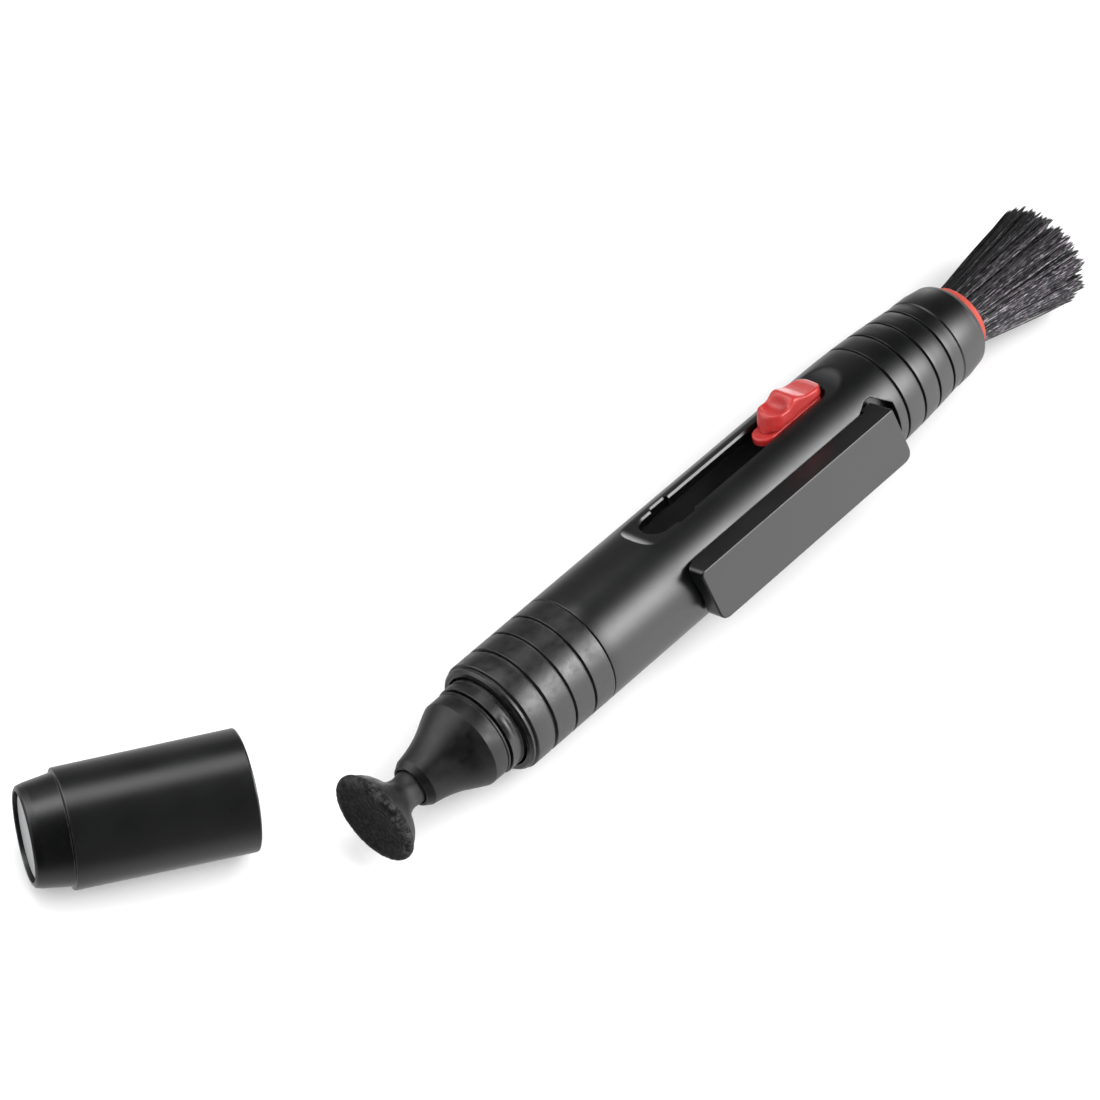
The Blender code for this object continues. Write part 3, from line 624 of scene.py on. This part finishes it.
def raise_snap_ribs(mesh):
    """Four low rounded ribs round the front of the cap seat."""
    first, spacing, span = math.radians(51.0), math.radians(90.0), math.radians(34.0)
    for vertex in mesh.vertices:
        station, y, z = vertex.co
        radius = math.hypot(y, z)
        if radius < SEAT_RADIUS - 0.2 or not SEAT_FRONT < station < RIB_STATION + 0.6:
            continue
        turn = (math.atan2(y, z) - first + 0.5 * spacing) % spacing - 0.5 * spacing
        along = max(0.0, 1.0 - (2.0 * turn / span) ** 2)
        across = max(0.0, 1.0 - ((station - RIB_STATION) / RIB_HALF_LENGTH) ** 2)
        grown = 1.0 + RIB_HEIGHT * along * across / radius
        vertex.co = (station, y * grown, z * grown)


def build_cap_seat(finish):
    """The spigot that the cap grips, with a fine groove, and its tail inside the barrel."""
    bore, tail = 4.4, 5.6
    outline = [(SEAT_FRONT, bore), (SEAT_FRONT, SEAT_RADIUS, 0.06)]
    outline += [(SEAT_FRONT + 0.1 + 0.1 * index, SEAT_RADIUS) for index in range(11)]
    outline += [(-14.9, SEAT_RADIUS, 0.04), (-14.85, 5.95, 0.04), (-14.65, 5.95, 0.04),
                (-14.6, SEAT_RADIUS, 0.04), (-0.15, SEAT_RADIUS), (-0.15, tail), (8.0, tail), (8.0, bore)]
    seat = lathe(fillet(outline), FINE_FACETS)
    raise_snap_ribs(seat)
    place_piece("cap_seat_ring", seat, finish, PEN, "pen", ("cap_seat",))


def build_tip_cone(finish):
    """The waisted cone that holds the tip, with a fine groove behind it and a tail in the seat."""
    bore, mouth, base = 3.05, 2.45, 5.92
    outline = [(-27.35, mouth), (-27.35, 2.72, 0.06), (-26.45, 3.25, 0.05), (-25.6, 3.40), (-24.8, 3.57),
               (-23.9, 3.8), (-22.9, 4.12), (-22.1, 4.44), (-21.3, 4.83), (-20.5, 5.24), (-19.7, 5.62),
               (-19.0, base, 0.1), (-17.15, base, 0.04), (-17.1, 5.78, 0.03), (-16.9, 5.78, 0.03),
               (-16.85, base, 0.04), (-16.6, base, 0.06), (-16.6, 4.1), (-8.0, 4.1), (-8.0, bore),
               (-21.0, bore), (-21.0, mouth)]
    place_piece("tip_cone", lathe(fillet(outline), FINE_FACETS), finish, PEN, "pen",
                ("tip_holder",))


# ---------- cleaning tip

def roughen(mesh, amount, size, chosen):
    """Pushes vertices in and out along their normals by noise of that size in millimetres."""
    for vertex in mesh.vertices:
        share = chosen(vertex.co)
        if share > 0.0:
            push = noise.fractal(vertex.co / size, 0.6, 2.1, 4) * amount * share
            vertex.co += vertex.normal * push


def with_stations(outline, longest):
    """Splits the outline's long steps, so that it can bend smoothly."""
    finer = []
    for (x, radius), (next_x, next_radius) in zip(outline, outline[1:]):
        parts = max(1, int(abs(next_x - x) / longest))
        for k in range(parts):
            finer.append((x + (next_x - x) * k / parts, radius + (next_radius - radius) * k / parts))
    return finer + [outline[-1]]


def build_neck(rubber):
    """The plug in the cone, the slim neck and the trumpet that carries the face, in one rubber."""
    outline = [(-21.3, 0.0), (-21.3, 2.3, 0.1), (-27.2, 2.28), (-27.9, 2.16), (-28.6, 2.1), (-29.2, 2.2),
               (-29.8, 2.46), (-30.3, 2.9), (-30.7, 3.45), (-31.1, 4.1), (-31.6, 4.75), (-32.1, 5.2),
               (-32.7, 5.58), (-33.1, 5.72, 0.08), (-33.25, 5.0), (-33.25, 0.0)]
    mesh = lathe(with_stations(fillet(outline, closed=False), 0.35), SMALL_FACETS)
    piece = place_piece("rubber_tip", mesh, rubber, PEN, None, ("tip_stem", "tip_head"))
    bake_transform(piece)


def build_face(carbon):
    """The cleaning face: a shallow dish with a rounded, dustier rim."""
    flat_radius, flat_station, dish = 4.9, -34.18, 0.22
    rings = 26
    outline = [(-33.15, 0.0), (-33.05, 5.4), (-32.9, 5.78, 0.1), (-33.1, 5.97), (-33.4, 6.03),
               (-33.7, 5.95), (-33.95, 5.75), (-34.12, 5.42), (flat_station, flat_radius)]
    for index in range(1, rings):
        radius = flat_radius * (1 - index / rings)
        outline.append((flat_station + dish * (1 - (radius / flat_radius) ** 2), radius))
    outline.append((flat_station + dish, 0.0))
    disc = lathe(fillet(outline), SMALL_FACETS)
    disc.update()
    roughen(disc, 0.05, 0.45, lambda p: min(1.0, max(0.0, (-33.1 - p.x) / 0.8)))
    rim = disc.attributes.new("rim_dust", "FLOAT", "POINT")
    for vertex, dusty in zip(disc.vertices, rim.data):
        dusty.value = min(1.0, max(0.0, (math.hypot(vertex.co.y, vertex.co.z) - 4.8) / 0.7))
    place_piece("carbon_face", disc, carbon, PEN, "tip", ("tip_pad",), 180.0)


# ---------- pocket clip

def build_clip(finish):
    """A flat plate whose hollow back follows the barrel, with a foot in the barrel's pocket."""
    face, skirt, foot = 9.8, 6.7, 6.1
    foot_front, foot_rear = 48.6, 50.9
    hollow = PEN_RADIUS + 0.45
    side = [(14.0, face), (14.0, 7.95), (15.0, 7.6, 0.4), (16.4, 6.9, 0.8), (19.5, skirt),
            (foot_front, skirt), (foot_front, foot), (foot_rear, foot), (foot_rear, 7.8, 0.1),
            (52.4, 8.1), (52.4, face)]
    plan = [(14.9, 4.1, 0.7), (50.6, 4.1, 0.35), (51.8, -4.1, 1.5), (16.05, -4.15, 1.7)]
    body = prism(fillet(side, steps=6), -5.2, 5.2, across=True)
    barrel_room = lathe([(10.0, 0.0), (10.0, hollow), (foot_front, hollow), (foot_front, 0.0)])
    clip = combine(body, [("INTERSECT", prism(fillet(plan, steps=8), CUT_LOW, 13.0), 0.0),
                          ("DIFFERENCE", barrel_room, 0.0)])
    clip = bevel_edges(clip, lambda p: p.z > face - 0.1, 0.24, 4, 40.0)
    place_piece("pocket_clip", clip, finish, CLIP, "clip", ("clip",))


# ---------- sliding brush

# Side view of the thumb button's top as (station, height): front rim, rest, ridge, level tail
BUTTON_PROFILE = ((37.0, 8.40), (38.0, 8.88), (38.6, 8.98), (39.6, 8.88),
                  (40.6, 8.80), (41.1, 8.92), (41.45, 9.30), (41.8, 9.66),
                  (42.2, 9.76), (42.7, 9.58), (43.3, 9.12), (44.0, 8.76),
                  (45.0, 8.56), (46.2, 8.38), (47.0, 8.18), (48.0, 7.9))
BUTTON_FRONT, BUTTON_REAR = 37.8, 47.38
BUTTON_BASE = 6.75
BUTTON_HALF_WIDTH = 2.0
FRONT_CORNER = 1.8                  # roundings of the button's ends, seen from above
REAR_CORNER = 1.75
DISH_STATION = 40.1
DISH_DEPTH = 0.5


def button_height(station, aside):
    """Top of the thumb button: dished where the thumb rests, with a ridge that sinks at its ends."""
    stations, heights = zip(*BUTTON_PROFILE)
    top = float(np.interp(station, stations, heights))
    dish = 1.0 - ((station - DISH_STATION) / 1.55) ** 2 - (aside / 1.75) ** 2
    ridge = max(0.0, top - 8.9) * 0.45 * (abs(aside) / BUTTON_HALF_WIDTH) ** 4
    return top - DISH_DEPTH * max(0.0, dish) ** 0.8 - ridge


def end_rounding(distance, radius):
    """How far a rounded end has drawn in its side, at a distance from that end."""
    if distance >= radius:
        return 0.0
    return radius - math.sqrt(radius ** 2 - (radius - distance) ** 2)


def button_ring(middle):
    """One closed cross-section of the thumb button; the front ones lean towards the brush."""
    ahead, behind = middle - BUTTON_FRONT, BUTTON_REAR - middle
    half = BUTTON_HALF_WIDTH - end_rounding(ahead, FRONT_CORNER) - end_rounding(behind, REAR_CORNER)
    rounding, across = 0.3, 28
    shoulder = button_height(middle, half) - rounding - 0.15
    side_levels = (BUTTON_BASE, 7.1, 7.5, 0.5 * (7.5 + shoulder), shoulder)
    ring = [(-half, level) for level in side_levels]
    for step in range(across + 1):
        aside = -math.cos(math.pi * step / across) * half
        ring.append((aside, button_height(middle, aside) - end_rounding(half - abs(aside), rounding)))
    ring += [(half, level) for level in reversed(side_levels)]
    edge = min(ahead, 0.8 * behind) / (1.3 * rounding)
    sink = 0.26 * max(0.0, 1.0 - edge) ** 2
    lean = 0.46 * max(0.0, 1.0 - ahead / 2.4)
    corners = []
    for aside, level in ring:
        level -= sink if level > BUTTON_BASE + 0.8 else 0.0
        corners.append((middle + lean * (level - BUTTON_BASE - 1.0), aside, level))
    return corners


def build_button(finish):
    """A closed row of cross-sections, closer together at the ends, then eased a little."""
    along = 80
    shape = bmesh.new()
    rings = []
    for index in range(along + 1):
        share = 0.5 - 0.5 * math.cos(math.pi * index / along)
        corners = button_ring(BUTTON_FRONT + share * (BUTTON_REAR - BUTTON_FRONT))
        rings.append([shape.verts.new(corner) for corner in corners])
    for near, far in zip(rings, rings[1:]):
        for index in range(len(near)):
            after = (index + 1) % len(near)
            shape.faces.new((near[index], near[after], far[after], far[index]))
    shape.faces.new(rings[0])
    shape.faces.new(rings[-1])
    for _ in range(2):
        bmesh.ops.smooth_vert(shape, verts=shape.verts, factor=0.5,
                              use_axis_x=True, use_axis_y=True, use_axis_z=True)
    place_piece("thumb_slider", to_mesh(shape), finish, SLOT, "brush",
                ("slider_button",), 60.0)


def build_carriage(finish):
    """The tube that holds the brush, the rib that runs in the slot and the tab under the button."""
    front, bore, tube_radius, stem_radius = 41.6, 4.1, 4.9, 4.55
    outline = [(front, bore), (front, tube_radius, 0.2), (57.6, tube_radius), (57.6, stem_radius),
               (68.0, stem_radius), (68.0, 3.9), (61.5, 3.9), (61.5, 0.0), (58.0, 0.0), (58.0, bore)]
    tube = lathe(fillet(outline), SMALL_FACETS)
    rib = prism(stadium(41.8, 47.3, 1.75, 24), 4.4, 6.3)
    tab = prism(stadium(36.1, 47.25, 1.65, 24), 5.8, 6.72)
    carriage = combine(tube, [("UNION", rib, -SLOT_TURN), ("UNION", tab, -SLOT_TURN)])

    def on_tab(p):
        up = p.y * math.sin(SLOT_TURN) + p.z * math.cos(SLOT_TURN)
        return up > 6.4 and p.x < 48.0

    carriage = bevel_edges(carriage, on_tab, 0.3, 4, 40.0)
    place_piece("brush_slide", carriage, finish, PEN, "brush", ("brush_carriage",))


def build_ferrule(finish):
    outline = [(68.3, 4.15), (68.3, 4.55), (68.6, 4.66), (73.4, 4.66, 0.2), (73.4, 4.15, 0.16)]
    place_piece("brush_collar", lathe(fillet(outline), FINE_FACETS), finish, PEN, "brush",
                ("brush_ferrule",))


# Hair: where it is rooted, where it leaves the ferrule and where it ends along the pen
ROOT_X = 70.9
EXIT_X = 73.35
END_X = 90.1
ROOT_RADIUS = 3.9
LARGEST_ROOT_RADIUS = 4.0
END_RADIUS = 7.15
BEND = math.radians(2.6)            # the whole brush leans this much to one side
BEND_SIDE = Vector((0.0, -0.942, -0.335))
TUFTS = 20
CLUMPS = 620
HAIR_STEPS = 8
PAINTED_LIGHT_SIDE = math.radians(-78.0)     # painted light: the hair is painted paler on this side of the brush, where the light falls


def strand_line(root, tip, sway, steps):
    """Points of one hair: straight out of the ferrule, a gentle flare and a short blunt tip."""
    leave = Vector((EXIT_X + 3.0, root.y * 1.06, root.z * 1.06))
    tip_start = 0.975
    points = []
    for step in range(steps + 1):
        t = tip_start * step / (steps - 1) if step < steps else 1.0
        here = root * (1 - t) ** 2 + leave * 2 * t * (1 - t) + tip * t * t
        points.append(here + sway * math.sin(math.pi * t) * t)
    return points


def add_strand(store, points, width, tone):
    """Adds a three-sided hair that tapers to a point, closed at its root."""
    first = len(store["points"])
    sides = 3
    steps = len(points) - 1
    for step, here in enumerate(points[:-1]):
        ahead = (points[step + 1] - here).normalized()
        side = ahead.cross(Vector((0.0, 0.3, 1.0))).normalized()
        up = side.cross(ahead)
        size = width * (1.0 if step < steps - 1 else 0.85)
        for k in range(sides):
            angle = 2 * math.pi * k / sides
            store["points"].append(here + (side * math.cos(angle) + up * math.sin(angle)) * size)
            store["along"].append(step / steps)
    store["points"].append(points[-1])
    store["along"].append(1.0)
    store["tone"] += [tone] * (len(store["points"]) - first)
    for step in range(steps - 1):
        low = first + step * sides
        for k in range(sides):
            after = (k + 1) % sides
            store["faces"].append((low + k, low + after, low + sides + after, low + sides + k))
    low = first + (steps - 1) * sides
    for k in range(sides):
        store["faces"].append((low + k, low + (k + 1) % sides, len(store["points"]) - 1))
    store["faces"].append((first + 2, first + 1, first))


def on_circle(radius, angle):
    """A point in the cross-section, at an angle from straight up."""
    return Vector((0.0, radius * math.sin(angle), radius * math.cos(angle)))


def grow_clump(tuft, index, angle):
    """Grows one clump of hairs, which share a root, a tip and a tone with some scatter."""
    share = math.sqrt((index + 0.5) / CLUMPS)
    tip_radius = END_RADIUS * share + random.uniform(-0.2, 0.1)
    tip_x = END_X + random.gauss(0.0, 0.16)
    tip_angle = angle + random.gauss(0.0, 0.06)
    clump_tone = random.random()
    # painted light: clumps on the side that faces the light get a paler tone, which feeds each strand's tone
    # below
    lit = 0.5 + 0.5 * math.cos(angle - PAINTED_LIGHT_SIDE)
    for _ in range(random.randint(5, 7)):
        spread = random.uniform(0.0, 0.26)
        around = random.uniform(0.0, 2 * math.pi)
        root = Vector((ROOT_X, 0.0, 0.0)) + on_circle(ROOT_RADIUS * share, angle) + on_circle(spread, around)
        out = math.hypot(root.y, root.z)
        if out > LARGEST_ROOT_RADIUS:
            root.y *= LARGEST_ROOT_RADIUS / out
            root.z *= LARGEST_ROOT_RADIUS / out
        gather = random.choice((0.8, 1.0, 1.2, 1.7))
        tip = Vector((tip_x - random.random() ** 3 * 0.7, 0.0, 0.0))
        tip += on_circle(tip_radius, tip_angle) + on_circle(gather * spread, around)
        tip += BEND_SIDE * math.tan(BEND) * (tip.x - EXIT_X)
        sway = Vector((0.0, random.gauss(0.0, 0.24), random.gauss(0.0, 0.24)))
        tone = min(1.0, (0.12 + lit ** 1.5) * (0.35 * clump_tone + 0.75 * random.random()))
        line = strand_line(root, tip, sway, HAIR_STEPS)
        add_strand(tuft, line, random.uniform(0.08, 0.115), tone)


def build_bristles(finish):
    """Clumps of hair spread over the ferrule; each tuft is one wedge of the bundle."""
    random.seed(SEED)
    stores = [{"points": [], "faces": [], "tone": [], "along": []} for _ in range(TUFTS)]
    golden = math.pi * (3 - math.sqrt(5))
    for index in range(CLUMPS):
        angle = index * golden + random.uniform(-0.12, 0.12)
        wedge = int((angle % (2 * math.pi)) / (2 * math.pi) * TUFTS) % TUFTS
        grow_clump(stores[wedge], index, angle)
    for index, store in enumerate(stores):
        mesh = bpy.data.meshes.new("tuft")
        mesh.from_pydata([tuple(p) for p in store["points"]], [], store["faces"])
        for key in ("tone", "along"):
            values = mesh.attributes.new("strand_" + key, "FLOAT", "POINT")
            values.data.foreach_set("value", np.array(store[key], np.float32))
        stands_for = ("brush_bristles", "bristle_plug") if index == 0 else ()
        piece = place_piece(f"bristle_tuft_{index:02d}", mesh, finish, PEN, "brush",
                            stands_for, 180.0)
        piece.modifiers.clear()
        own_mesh(piece)


# ---------- cap

# The cap's stations run from its open mouth to its closed end.

def build_cap(finish):
    """The shell: a slightly tapered body, a step and a nose with the disc's recess in its end."""
    bore, nose_bore = 6.5, 5.6
    outline = [(0.0, bore, 0.15), (0.0, CAP_MOUTH_RADIUS, 0.28), (21.8, 7.22, 0.18), (21.95, 6.7, 0.1),
               (25.3, 6.2, 0.5), (26.1, 5.98, 0.3), (26.35, 5.6, 0.14), (26.3, 5.38, 0.08),
               (24.95, 5.35), (24.95, 0.0), (24.0, 0.0), (24.0, nose_bore), (20.6, nose_bore), (20.2, bore)]
    place_piece("cap_body", lathe(fillet(outline, steps=5)), finish, CAP, "cap",
                ("cap_shell",))


def build_cap_inside(liner, carbon):
    """The cup in the closed end and the carbon pad in it."""
    cup = [(21.0, 4.7), (21.0, 5.3, 0.15), (23.7, 5.3), (23.7, 0.0), (23.0, 0.0), (23.0, 4.7)]
    place_piece("cap_liner", lathe(fillet(cup), SMALL_FACETS), liner, CAP, "cap",
                ("cap_pad_cup",))
    pad = [(22.7, 0.0), (22.7, 4.4), (20.6, 4.4, 0.5), (20.05, 3.4, 0.5)]
    pad += [(20.0 + 0.03 * k, 3.0 * (1 - k / 10)) for k in range(1, 11)]
    disc = lathe(fillet(pad), SMALL_FACETS)
    disc.update()
    roughen(disc, 0.1, 0.4, lambda p: 1.0 if p.x < 21.1 else 0.0)
    place_piece("cap_carbon", disc, carbon, CAP, "cap", ("carbon_pad",), 180.0)


def build_cap_disc(silver):
    outline = [(25.25, 0.0), (25.25, 5.05, 0.05), (25.85, 5.05, 0.12), (25.85, 4.6), (25.79, 4.5),
               (25.79, 0.0)]
    place_piece("cap_disc", lathe(fillet(outline), SMALL_FACETS), silver, CAP, "cap",
                ("cap_badge",))


# ---------- stage

FLOOR_HALF_SIDE = 3.0               # metres


def build_floor():
    """A pale, matt floor that reflections don't see; they see the studio's table glow instead."""
    shape = bmesh.new()
    bmesh.ops.create_grid(shape, x_segments=8, y_segments=8, size=FLOOR_HALF_SIDE)
    mesh = to_mesh(shape)
    floor = link("floor", mesh)
    finish, tree, shader = new_finish("pale_floor")
    place = in_millimetres(tree)
    colour = blend_colours(tree, cloud(tree, place, 90.0, 3.0), (0.90, 0.90, 0.90), (0.93, 0.93, 0.93))
    feed(tree, shader, {"Base Color": colour, "Roughness": 0.9, "Specular IOR Level": 0.1})
    mesh.materials.append(finish)
    floor.visible_glossy = False


# Soft panels that only reflections see: direction, tightness, brightness and gate. A panel fades
# in from the first to the second value of its gate, along the reflected ray's x.
OPEN_GATE = (-2.0, -1.9)
PANELS = (
    ((0.42, -0.63, 0.65), 20.0, 19.5, (0.30, 0.44)),
    ((0.58, -0.81, -0.05), 6.0, 3.2, OPEN_GATE),
    ((-0.35, 0.80, 0.49), 9.0, 4.2, OPEN_GATE),
    ((0.45, 0.80, -0.45), 10.0, 0.35, OPEN_GATE),
    ((0.75, 0.57, -0.32), 14.0, 3.2, (0.62, 0.72)),
    ((-0.11, 0.61, 0.78), 25.0, 2.0, (0.25, 0.05)),
)
TABLE_GLOW = 0.7                    # what reflections see below the horizon
ROOM_GLOW = 0.03                    # and above it, between the panels
LOW_SKY, HIGH_SKY = 0.62, 1.30      # diffuse light from the horizon down, and from overhead


def soft_light(name, spot, aim, size, power, in_reflections=False, spread=180.0):
    """An area light at a spot, facing a point, in metres and watts; spread is its beam in degrees."""
    light = bpy.data.lights.new(name, "AREA")
    light.shape = "RECTANGLE"
    light.size, light.size_y = size
    light.energy = power
    light.spread = math.radians(spread)
    holder = bpy.data.objects.new(name, light)
    bpy.context.scene.collection.objects.link(holder)
    holder.location = Vector(spot)
    holder.rotation_mode = "QUATERNION"
    holder.rotation_quaternion = (Vector(spot) - Vector(aim)).to_track_quat("Z", "Y")
    holder.visible_glossy = in_reflections
    holder.visible_camera = False


def panel_glow(tree, heading, aside, direction, tightness, brightness, gate):
    """Brightness of one panel towards the heading, whose x is aside."""
    toward = add(tree, "ShaderNodeVectorMath", {0: heading, 1: Vector(direction).normalized()},
                 operation="DOT_PRODUCT").outputs["Value"]
    falling = maths(tree, "MULTIPLY", maths(tree, "SUBTRACT", toward, 1.0), tightness)
    fall = maths(tree, "EXPONENT", falling, 0.0)
    opened = remap(tree, aside, gate[0], gate[1], 0.0, 1.0, "SMOOTHSTEP")
    return maths(tree, "MULTIPLY", maths(tree, "MULTIPLY", fall, opened), brightness)


def build_studio():
    """Diffuse light comes evenly from all round; reflections see a few soft panels and the table."""
    soft_light("key_softbox", spot=(0.9, -1.0, 1.5), aim=(0.0, 0.0, 0.0), size=(1.6, 1.2), power=26.0)
    soft_light("front_fill", spot=(-1.4, -0.8, 1.5), aim=(0.0, 0.0, 0.0), size=(1.6, 1.6), power=14.0)
    soft_light("cap_panel", spot=(-0.0036, 0.0336, 0.1488), aim=(-0.064, 0.009, 0.0075),
               size=(0.14, 0.14), power=0.0010, in_reflections=True, spread=44.0)
    soft_light("nose_panel", spot=(-0.0391, 0.0774, 0.1487), aim=(-0.0742, 0.0148, 0.0075),
               size=(0.16, 0.16), power=0.026, in_reflections=True, spread=44.0)
    world = bpy.data.worlds.new("studio")
    bpy.context.scene.world = world
    world.use_nodes = True
    world.cycles.sampling_method = "NONE"
    tree = world.node_tree
    background = tree.nodes["Background"]
    heading = add(tree, "ShaderNodeTexCoord").outputs["Generated"]
    parts = add(tree, "ShaderNodeSeparateXYZ", {"Vector": heading}).outputs
    aside, height = parts["X"], parts["Z"]
    glow = remap(tree, height, -0.15, -0.75, ROOM_GLOW, TABLE_GLOW, "SMOOTHSTEP")
    for panel in PANELS:
        glow = maths(tree, "ADD", glow, panel_glow(tree, heading, aside, *panel))
    even = remap(tree, height, 0.0, 1.0, LOW_SKY, HIGH_SKY)
    path = add(tree, "ShaderNodeLightPath")
    strength = add(tree, "ShaderNodeMix", {"Factor": path.outputs["Is Glossy Ray"], "A": even, "B": glow})
    feed(tree, background, {"Color": (1.0, 1.0, 1.0, 1.0), "Strength": strength.outputs["Result"]})
    bpy.context.scene.view_settings.view_transform = "Standard"


# Where the camera stands: turned about z, raised, rolled, this far from the point it looks at
CAMERA_AZIMUTH = math.radians(-56.269)
CAMERA_ELEVATION = math.radians(55.470)
CAMERA_ROLL = math.radians(10.999)
CAMERA_DISTANCE = 533.46 * MM
CAMERA_TARGET = (9.027, 11.501, 0.0)
CAMERA_LENS = 144.0


def build_camera():
    camera = bpy.data.cameras.new("product_view")
    camera.lens = CAMERA_LENS
    camera.sensor_width = 36.0
    camera.clip_start = 0.01
    camera.clip_end = 20.0
    holder = bpy.data.objects.new("product_view", camera)
    bpy.context.scene.collection.objects.link(holder)
    azimuth, elevation, roll = CAMERA_AZIMUTH, CAMERA_ELEVATION, CAMERA_ROLL
    forward = Vector((-math.sin(azimuth) * math.cos(elevation), math.cos(azimuth) * math.cos(elevation),
                      -math.sin(elevation)))
    right = Vector((math.cos(azimuth), math.sin(azimuth), 0.0))
    up = right.cross(forward)
    right, up = (right * math.cos(roll) + up * math.sin(roll), up * math.cos(roll) - right * math.sin(roll))
    spot = PEN @ Vector(CAMERA_TARGET) - forward * CAMERA_DISTANCE
    holder.matrix_world = Matrix((
        (right.x, up.x, -forward.x, spot.x),
        (right.y, up.y, -forward.y, spot.y),
        (right.z, up.z, -forward.z, spot.z),
        (0.0, 0.0, 0.0, 1.0)))
    bpy.context.scene.camera = holder


def main():
    gloss = moulded_plastic("satin_black", (0.0018, 0.0019, 0.002), (0.0032, 0.0033, 0.0035),
                            roughness=(0.26, 0.32), patch=9.0, grain=0.11, grain_depth=0.0025,
                            wear_and_highlight=(0.035, 0.0355, 0.037))
    matt = moulded_plastic("matt_black", (0.0015, 0.0016, 0.0016), (0.008, 0.0081, 0.0084),
                           roughness=(0.26, 0.40), patch=1.1, grain=0.2, grain_depth=0.010,
                           wear_and_highlight=(0.08, 0.081, 0.083))
    cone_black = moulded_plastic("cone_black", (0.0015, 0.0015, 0.0016), (0.006, 0.0061, 0.0062),
                                 roughness=(0.30, 0.46), patch=2.0, grain=0.14, grain_depth=0.006,
                                 wear_and_highlight=(0.07, 0.071, 0.073), specular=0.3)
    cap_black = moulded_plastic("cap_black", (0.0014, 0.0015, 0.0016), (0.0026, 0.0027, 0.0028),
                                roughness=(0.26, 0.30), patch=6.0, grain=0.12, grain_depth=0.0025,
                                wear_and_highlight=(0.10, 0.102, 0.105))
    rubber = moulded_plastic("black_rubber", (0.003, 0.003, 0.0032), (0.008, 0.008, 0.0083),
                             roughness=(0.42, 0.6), patch=1.6, grain=0.18, grain_depth=0.008,
                             wear_and_highlight=(0.05, 0.05, 0.051), specular=0.4)
    liner = moulded_plastic("liner_plastic", (0.03, 0.03, 0.03), (0.05, 0.05, 0.05),
                            roughness=(0.5, 0.6), patch=2.0, grain=0.15, grain_depth=0.006,
                            wear_and_highlight=(0.08, 0.08, 0.08))
    # lighter grey for the barrel's bore: painted light, not the plastic's own colour
    bore = moulded_plastic("bore_painted_light", (0.045, 0.046, 0.047), (0.06, 0.061, 0.062),
                           roughness=(0.5, 0.6), patch=4.0, grain=0.15, grain_depth=0.004,
                           wear_and_highlight=(0.08, 0.08, 0.08), specular=0.3)
    red = red_moulding("red_satin", (0.37, 0.015, 0.014), (0.44, 0.030, 0.028),
                       roughness=(0.30, 0.40), specular=0.42, coat=0.1)
    red_collar = red_moulding("red_collar", (0.42, 0.055, 0.036), (0.50, 0.075, 0.05),
                              roughness=(0.48, 0.58), specular=0.35, coat=0.0)
    carbon = carbon_coating()

    build_barrel(gloss, bore)
    build_front_sleeve(matt)
    build_cap_seat(matt)
    build_tip_cone(cone_black)
    build_neck(rubber)
    build_face(carbon)
    build_clip(gloss)
    build_button(red)
    build_carriage(red)
    build_ferrule(red_collar)
    build_bristles(hair())
    silver = silver_disc()
    build_cap(cap_black)
    build_cap_inside(liner, carbon)
    build_cap_disc(silver)

    build_floor()
    build_studio()
    build_camera()


main()
